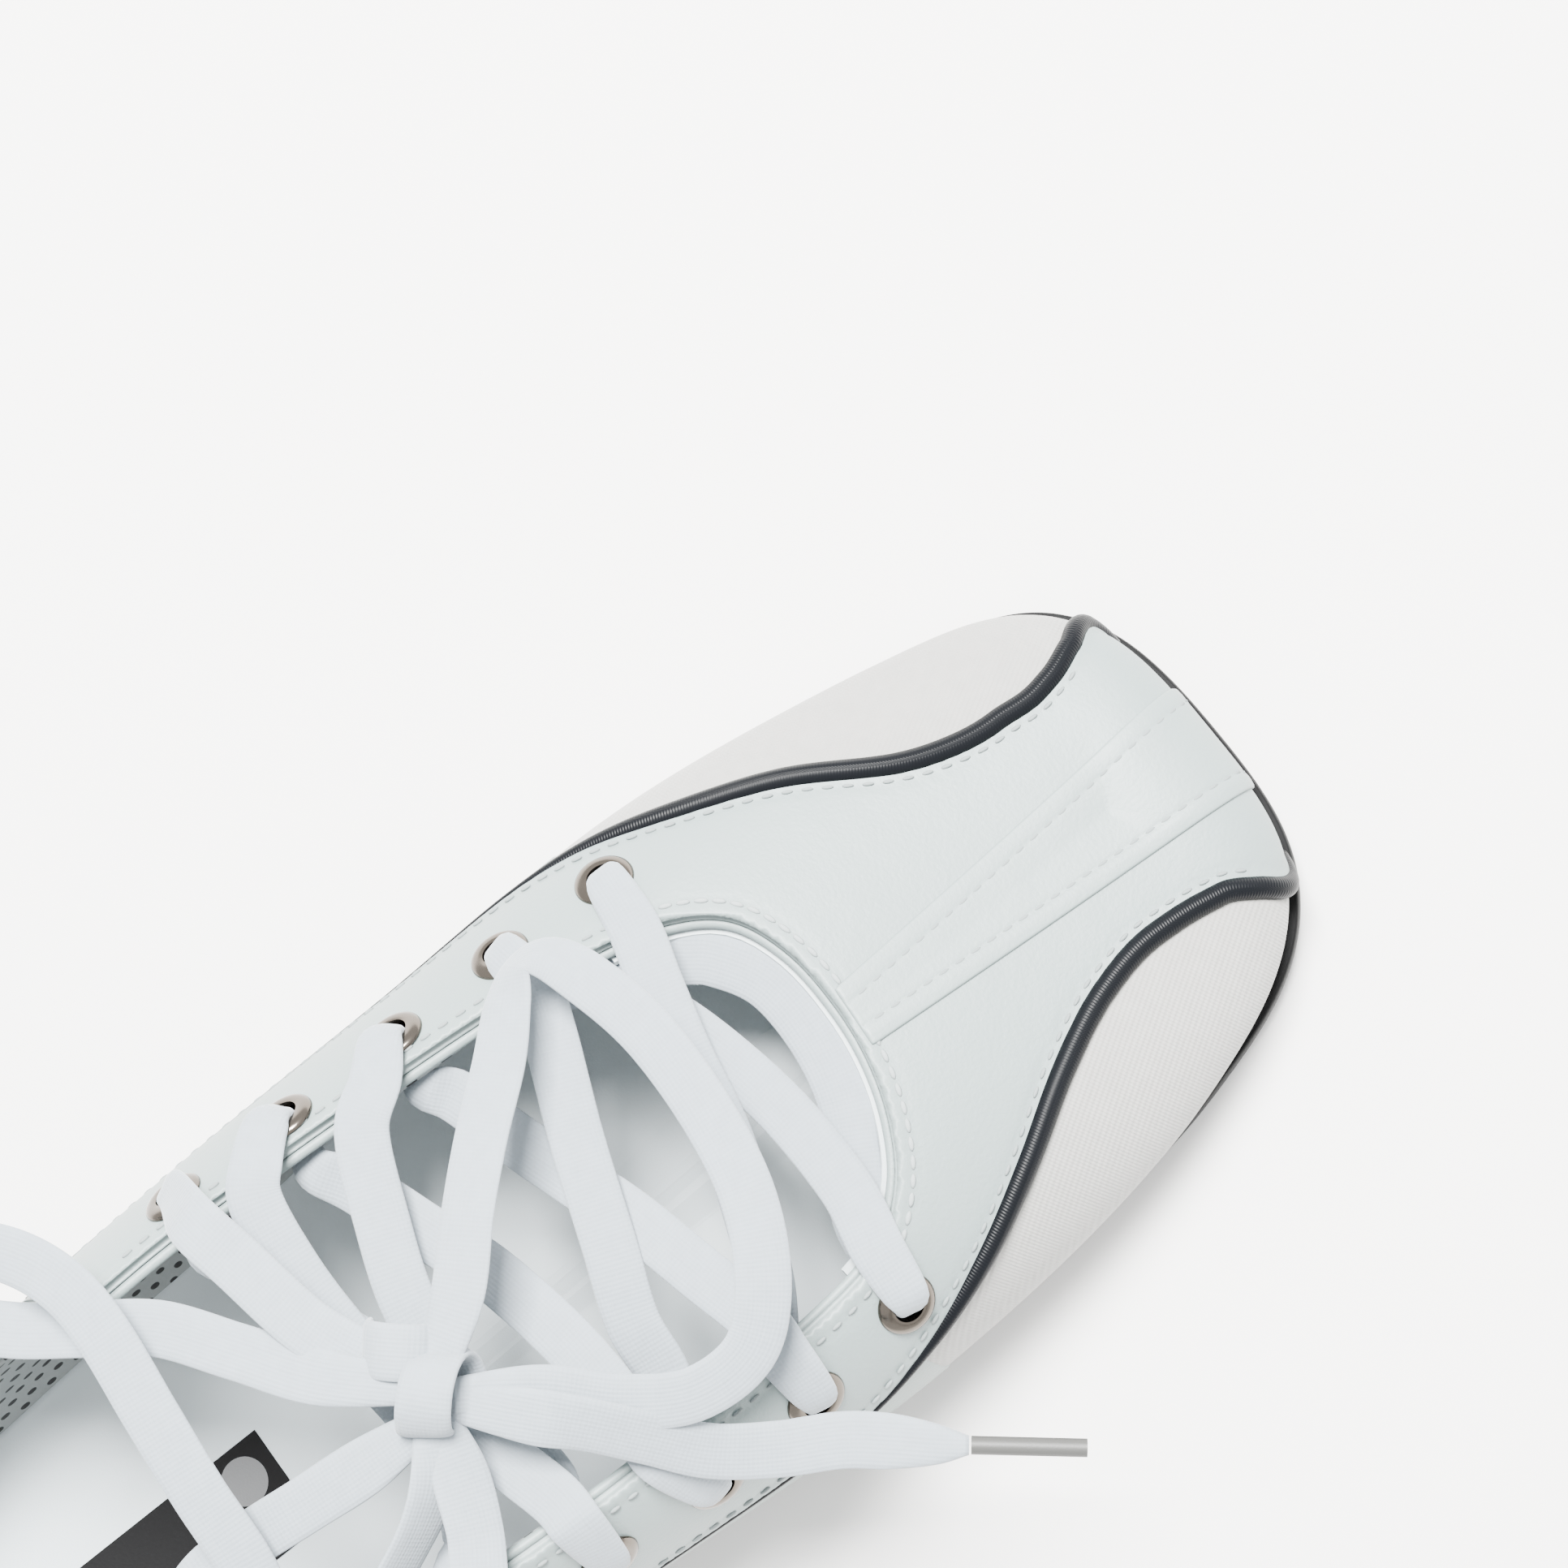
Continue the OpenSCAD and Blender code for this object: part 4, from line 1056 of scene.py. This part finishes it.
def lace_piece(name, rows, step=0.8):
    """A flat lace along rows of (x, distance from the toe, height, tilt in degrees, width, thickness,
    level heading). It lies flat at tilt 0 and stands on its edge at 90."""
    rows = curve(rows, 14)
    walk = walked(rows[:, :3])
    at = np.linspace(0, walk[-1], max(12, int(walk[-1] / step)))
    rows = np.stack([np.interp(at, walk, c) for c in rows.T], -1)
    p = rows[:, :3]
    t = unit(np.gradient(p, axis=0))
    a = np.column_stack([rows[:, 7], -rows[:, 6], np.zeros(len(p))])
    a = unit(a - t * (a * t).sum(-1, keepdims=True))
    n = np.cross(a, t)
    tilt = np.radians(rows[:, 3])[:, None]
    a, n = a * np.cos(tilt) + n * np.sin(tilt), n * np.cos(tilt) - a * np.sin(tilt)
    w = np.linspace(0, 2 * np.pi, 24, endpoint=False)
    x = np.sign(np.cos(w)) * np.abs(np.cos(w)) ** 0.55 / 2
    y = np.sign(np.sin(w)) * np.abs(np.sin(w)) ** 0.8 / 2
    width, thick = rows[:, 4:5], rows[:, 5:6]
    rings = p[:, None] + a[:, None] * (x * width)[..., None] + n[:, None] * (y * thick)[..., None]
    uv = np.stack([x * width, np.broadcast_to(at[:, None], (len(at), len(w)))], -1)
    return tube(name, rings, uv), p


def bridge(x, s, rise):
    """A point over the throat, rise above the level between its two facings."""
    lateral, medial = over(np.array([(FACING_L, s), (FACING_M, s)]))[:, 2]
    return x, s, lateral + (medial - lateral) * (x - FACING_L) / (FACING_M - FACING_L) + rise


# Strands over the throat: side and number of the eyelet that they come up from, then of the one
# that they reach from below, and the given (x, distance from the toe, rise, tilt) between the two
CROSSINGS = [
    (MEDIAL, 0, LATERAL, 1, [
        (25, 78, 2.6, 4), (17, 80, 3.2, 10), (7, 82.5, 2.8, 14), (-5, 85, 1.6, 10),
        (-16, 89, -0.5, 4), (-24, 93, -4, 0)]),
    (LATERAL, 0, MEDIAL, 1, [
        (-29, 78, 2.2, -4), (-20, 76.5, 2, -10), (-7, 77, 1.2, -12), (5, 79.3, 0.2, -8),
        (15, 82.5, -1.5, 0), (23, 86.5, -4.5, 0)]),
    (MEDIAL, 1, LATERAL, 2, [
        (27, 93, 2.6, 0), (21, 94.5, 3.2, 8), (7, 100, 2.6, 16), (-7, 105, 1.2, 12),
        (-17, 109, -1.5, 6), (-25, 110.5, -4.5, 0)]),
    (LATERAL, 1, MEDIAL, 2, [
        (-33, 95.5, 2.2, 0), (-27, 95.5, 2, -8), (-17.5, 98, 1, -10), (-6, 101, 0, -12),
        (3.5, 104.5, -1.5, -6), (13, 108, -3.5, 0), (22, 111, -5.5, 0)]),
    (MEDIAL, 2, LATERAL, 3, [
        (29, 116.5, 2.6, 0), (24.5, 121.5, 2.8, 10), (14, 126, 1.8, 16), (2, 130, 0.4, 10),
        (-10, 131, -1.5, 4), (-21, 130, -3.5, 0), (-27, 129.8, -5, 0)]),
    (LATERAL, 2, MEDIAL, 3, [
        (-34, 115.3, 2.2, 0), (-28, 115.5, 1.8, -8), (-15, 116.5, 0.6, -10), (-1, 119.5, -0.6, -12),
        (9, 123.5, -2.2, -6), (20, 128, -4.8, 0)]),
    (MEDIAL, 3, LATERAL, 4, [
        (29.5, 134.5, 2.6, 0), (25, 137.5, 2.6, 8), (14, 139, 1.2, 14), (3, 139, -0.4, 8),
        (-10, 138, -2, 4), (-20, 139.5, -3.5, 0), (-27, 142.5, -5, 0)]),
    (LATERAL, 3, MEDIAL, 4, [
        (-34, 128.5, 2.2, 0), (-29, 129, 1.6, -6), (-18, 132.5, 0, -8), (-5, 136, -2, -8),
        (9, 141.5, -3.6, -4), (20, 145.5, -5.2, 0)]),
]
# The two ends that come up from the last eyelets and go to the knot
KNOT = (-9.5, 131.5, 65.5)
LACE_ENDS = [
    (MEDIAL, 4, [(27, 143.5, 68, 6), (19, 141.8, 68, 12), (7, 139.5, 67, 10), (-2, 135.8, 66, 4),
        (-6, 133.5, 65.5, 0)]),
    (LATERAL, 4, [(-33, 142, 63.5, -14), (-27, 138.5, 63, -26), (-20, 135.5, 63.5, -20),
        (-13, 133, 64.5, 0)]),
]
BOTTOM_BAR = [
    (30, 79), (22.5, 76), (17, 71), (9.5, 67), (0, 66.3), (-9.5, 68), (-18, 72),
    (-26, 76.5), (-31, 80),
]
BAR_DEPTH = -5.4


def eyelet_at(side, number):
    return np.array((EYELETS_MEDIAL if side > 0 else EYELETS_LATERAL)[number], float)


def rise_from(a, go):
    """Rows of a lace that comes up through the eyelet at a and lies down toward go."""
    return [
        (*lift(a, -1), 0, *BUNCHED),
        (*lift(a + go * 0.4, 1.1), 0, *BUNCHED),
        (*lift(a + go * 2.2, 2.4), 0, *FOLDED),
    ]


def crossing_rows(side, number, far_side, far_number, middle):
    a, b = eyelet_at(side, number), eyelet_at(far_side, far_number)
    go, arrive = unit(middle[0][:2] - a), unit(b - middle[-1][:2])
    rows = rise_from(a, go)
    rows += [(*bridge(x, s, rise), tilt, *WIDE) for x, s, rise, tilt in middle]
    rows += [
        (*lift(b - arrive * 4.5, -6.4), 0, *FOLDED),
        (*lift(b - arrive * 0.5, -5), 0, *BUNCHED),
        (*lift(b, -1.2), 0, *BUNCHED),
    ]
    return headed(rows, go, arrive)


def end_rows(side, number, middle):
    a = eyelet_at(side, number)
    go = unit(middle[0][:2] - a)
    rows = rise_from(a, go) + [(x, s, z, tilt, *WIDE) for x, s, z, tilt in middle[:-1]]
    rows.append((*middle[-1], *GATHERED))
    return headed(rows, go, None)


def bar_rows():
    a, b = eyelet_at(MEDIAL, 0), eyelet_at(LATERAL, 0)
    rows = [(*lift(a, -1.2), 0, *BUNCHED), (*lift(a + [-1, -1], -4.5), 0, *FOLDED)]
    rows += [(*lift(np.array(p, float), BAR_DEPTH), 0, *WIDE) for p in BOTTOM_BAR[1:-1]]
    rows += [(*lift(b + [1, -1], -4.5), 0, *FOLDED), (*lift(b, -1.2), 0, *BUNCHED)]
    return headed(rows, None, None)


def join(name, objs):
    """One object from several meshes."""
    with bpy.context.temp_override(active_object=objs[0], selected_editable_objects=objs):
        bpy.ops.object.join()
    objs[0].name = name
    return objs[0]


def make_laced():
    rows = [crossing_rows(*c) for c in CROSSINGS] + [end_rows(*e) for e in LACE_ENDS] + [bar_rows()]
    parts = [lace_piece("strand", r)[0] for r in rows]
    show(join("lace_laced", parts), LACE, ["lace"])


# Middle lines of the bow, knot end first: (x, distance from the toe, height)
LOOP_1 = [
    (-8.5, 130, 66.5), (-2, 121, 67), (5.5, 114, 66), (12.5, 107.5, 63), (19.5, 100.5, 59),
    (25.5, 95.5, 56), (29, 92, 54),
    (27.5, 88, 53.5), (21.5, 85.3, 54), (11, 83, 55), (-2, 83, 56), (-14, 85, 57), (-24, 90, 57.5),
    (-30, 97, 57), (-30, 106, 58), (-25, 114, 60), (-18, 121, 63), (-11.5, 130, 65),
]
LOOP_2 = [
    (-7.5, 133, 67), (1, 142, 67.5), (10, 149, 66.5), (19, 156, 66), (25, 164, 66.5), (31, 172, 67),
    (37, 177, 68), (42, 175, 69.5), (42, 169, 71), (37, 164, 72), (30, 161, 72), (22, 160.5, 71.5),
    (10, 162, 70), (-1.5, 163.5, 68), (-13, 165, 65), (-22, 169, 61.5), (-27, 176, 58), (-23, 182.5, 57),
    (-15, 182, 58.5), (-10, 174.5, 60.5), (-9.5, 165, 61.5), (-10.5, 155, 62.5), (-11.5, 145, 63.5),
    (-12, 136, 64),
]
TAIL_1 = [
    (-12, 130.5, 64.5), (-20, 123, 64.5), (-25, 118.5, 62), (-31, 114, 58), (-37, 109.5, 53.5),
    (-42, 103, 50), (-46, 96, 48.5), (-50, 91, 48), (-54, 86.3, 48), (-56.5, 83.2, 47.5),
]
TAIL_2 = [
    (-11.5, 133, 65), (-18, 137.5, 64), (-21.5, 143, 63), (-24.5, 150, 62), (-27, 157, 61.5),
    (-30, 163.5, 62), (-33.5, 169.5, 61), (-38, 175, 57), (-43, 180, 51), (-46, 184, 44),
]
# Tilts of the bow's pieces at each of their points
LOOP_1_TILT = [0, 6, 8, 6, 4, 20, 55, 40, 12, 4, 2, 6, 14, 20, 16, 8, 2, 0]
LOOP_2_TILT = [0, -4, -6, -6, -8, -10, -14, -10, -4, 0, 4, 6, 6, 4, 10, 20, 30, 30, 20, 8, 0, -6, -4, 0]
TAIL_1_TILT = [0, -8, -16, -14, -8, -4, 0, 0, 0, 0]
TAIL_2_TILT = [0, 36, 58, 62, 52, 38, 24, 10, 0, 0]
TIP = [(7.2, 1.3), (5.2, 1.8), (2.5, 2.4)]


def free_lace(name, route, tilts, node_name, pieces=()):
    """A loop, or a tail when the pieces at its tip are given."""
    sizes = [GATHERED] + [WIDE] * (len(route) - 2) + [GATHERED]
    if pieces:
        sizes[-len(TIP):] = TIP
    rows = headed([(*p, tilt, *size) for p, tilt, size in zip(route, tilts, sizes)], None, None)
    obj, line = lace_piece(name, rows)
    show(obj, LACE, [node_name])


def make_bow():
    free_lace("bow_loop_1", LOOP_1, LOOP_1_TILT, "lace_loop_1")
    free_lace("bow_loop_2", LOOP_2, LOOP_2_TILT, "lace_loop_2")
    free_lace("bow_tail_1", TAIL_1, TAIL_1_TILT, "lace_tail_1", [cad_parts["aglet_1"]])
    free_lace("bow_tail_2", TAIL_2, TAIL_2_TILT, "lace_tail_2", [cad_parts["aglet_2"]])


# Wraps of the knot: centre, axis, half its reach, half its height, start in degrees, steps, drift a step
WRAPS = [
    (KNOT, (0.6, 0.8), 4.5, 4.2, -150, 14, 0.5),
    ((-3.2, 131.8, 64.4), (0.78, -0.62), 4.2, 3.7, -190, 11, 0.15),
]
WRAP_STEP = 38
WRAP_T = 1.5


def wrap_rows(centre, axis, reach, high, start, steps, drift):
    """Rows of a lace wound round an axis, each turn lying over the one before."""
    along, beside = np.array([*axis, 0]), np.array([axis[1], -axis[0], 0])
    rows = []
    for k in range(steps):
        w = math.radians(start + WRAP_STEP * k)
        grown = 1 + 0.016 * k
        p = centre + beside * math.cos(w) * reach * grown + along * (k - steps / 2) * drift
        rows.append((*(p + [0, 0, math.sin(w) * high * grown]), 0, LACE_W, WRAP_T, -axis[1], axis[0]))
    return np.array(rows)


def make_knot():
    """The lace wrapped round the crossing of the loops, and the half knot under it."""
    parts = [lace_piece("wrap", wrap_rows(*wrap), 0.5)[0] for wrap in WRAPS]
    show(join("bow_knot", parts), LACE, ["lace_knot"])


def paint_cad():
    """The CAD pieces that stay in view, or hidden inside, take these finishes."""
    finishes = {
        METAL: ["eyelets_medial", "eyelets_lateral", "washers_medial", "washers_lateral"],
        VAMP_LINING: ["vamp_lining", "facing_stay_medial", "facing_stay_lateral"],
        STIFFENER: ["toe_puff", "heel_counter"],
        BOARD: ["insole_board"],
        AGLET: ["aglet_1", "aglet_2"],
    }
    for material, names in finishes.items():
        for name in names:
            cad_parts[name].data.materials[0] = material


make_camera()
make_bow()
make_knot()
make_laced()
make_studio()
make_sole()
make_sock_liner()
make_label()
make_vamp()
make_strip()
make_canvas(MEDIAL, "medial")
make_canvas(LATERAL, "lateral")
make_quarter(MEDIAL, "medial")
make_quarter(LATERAL, "lateral")
make_piping(MEDIAL, "medial")
make_piping(LATERAL, "lateral")
make_linings()
make_bindings()
make_backstay()
paint_cad()
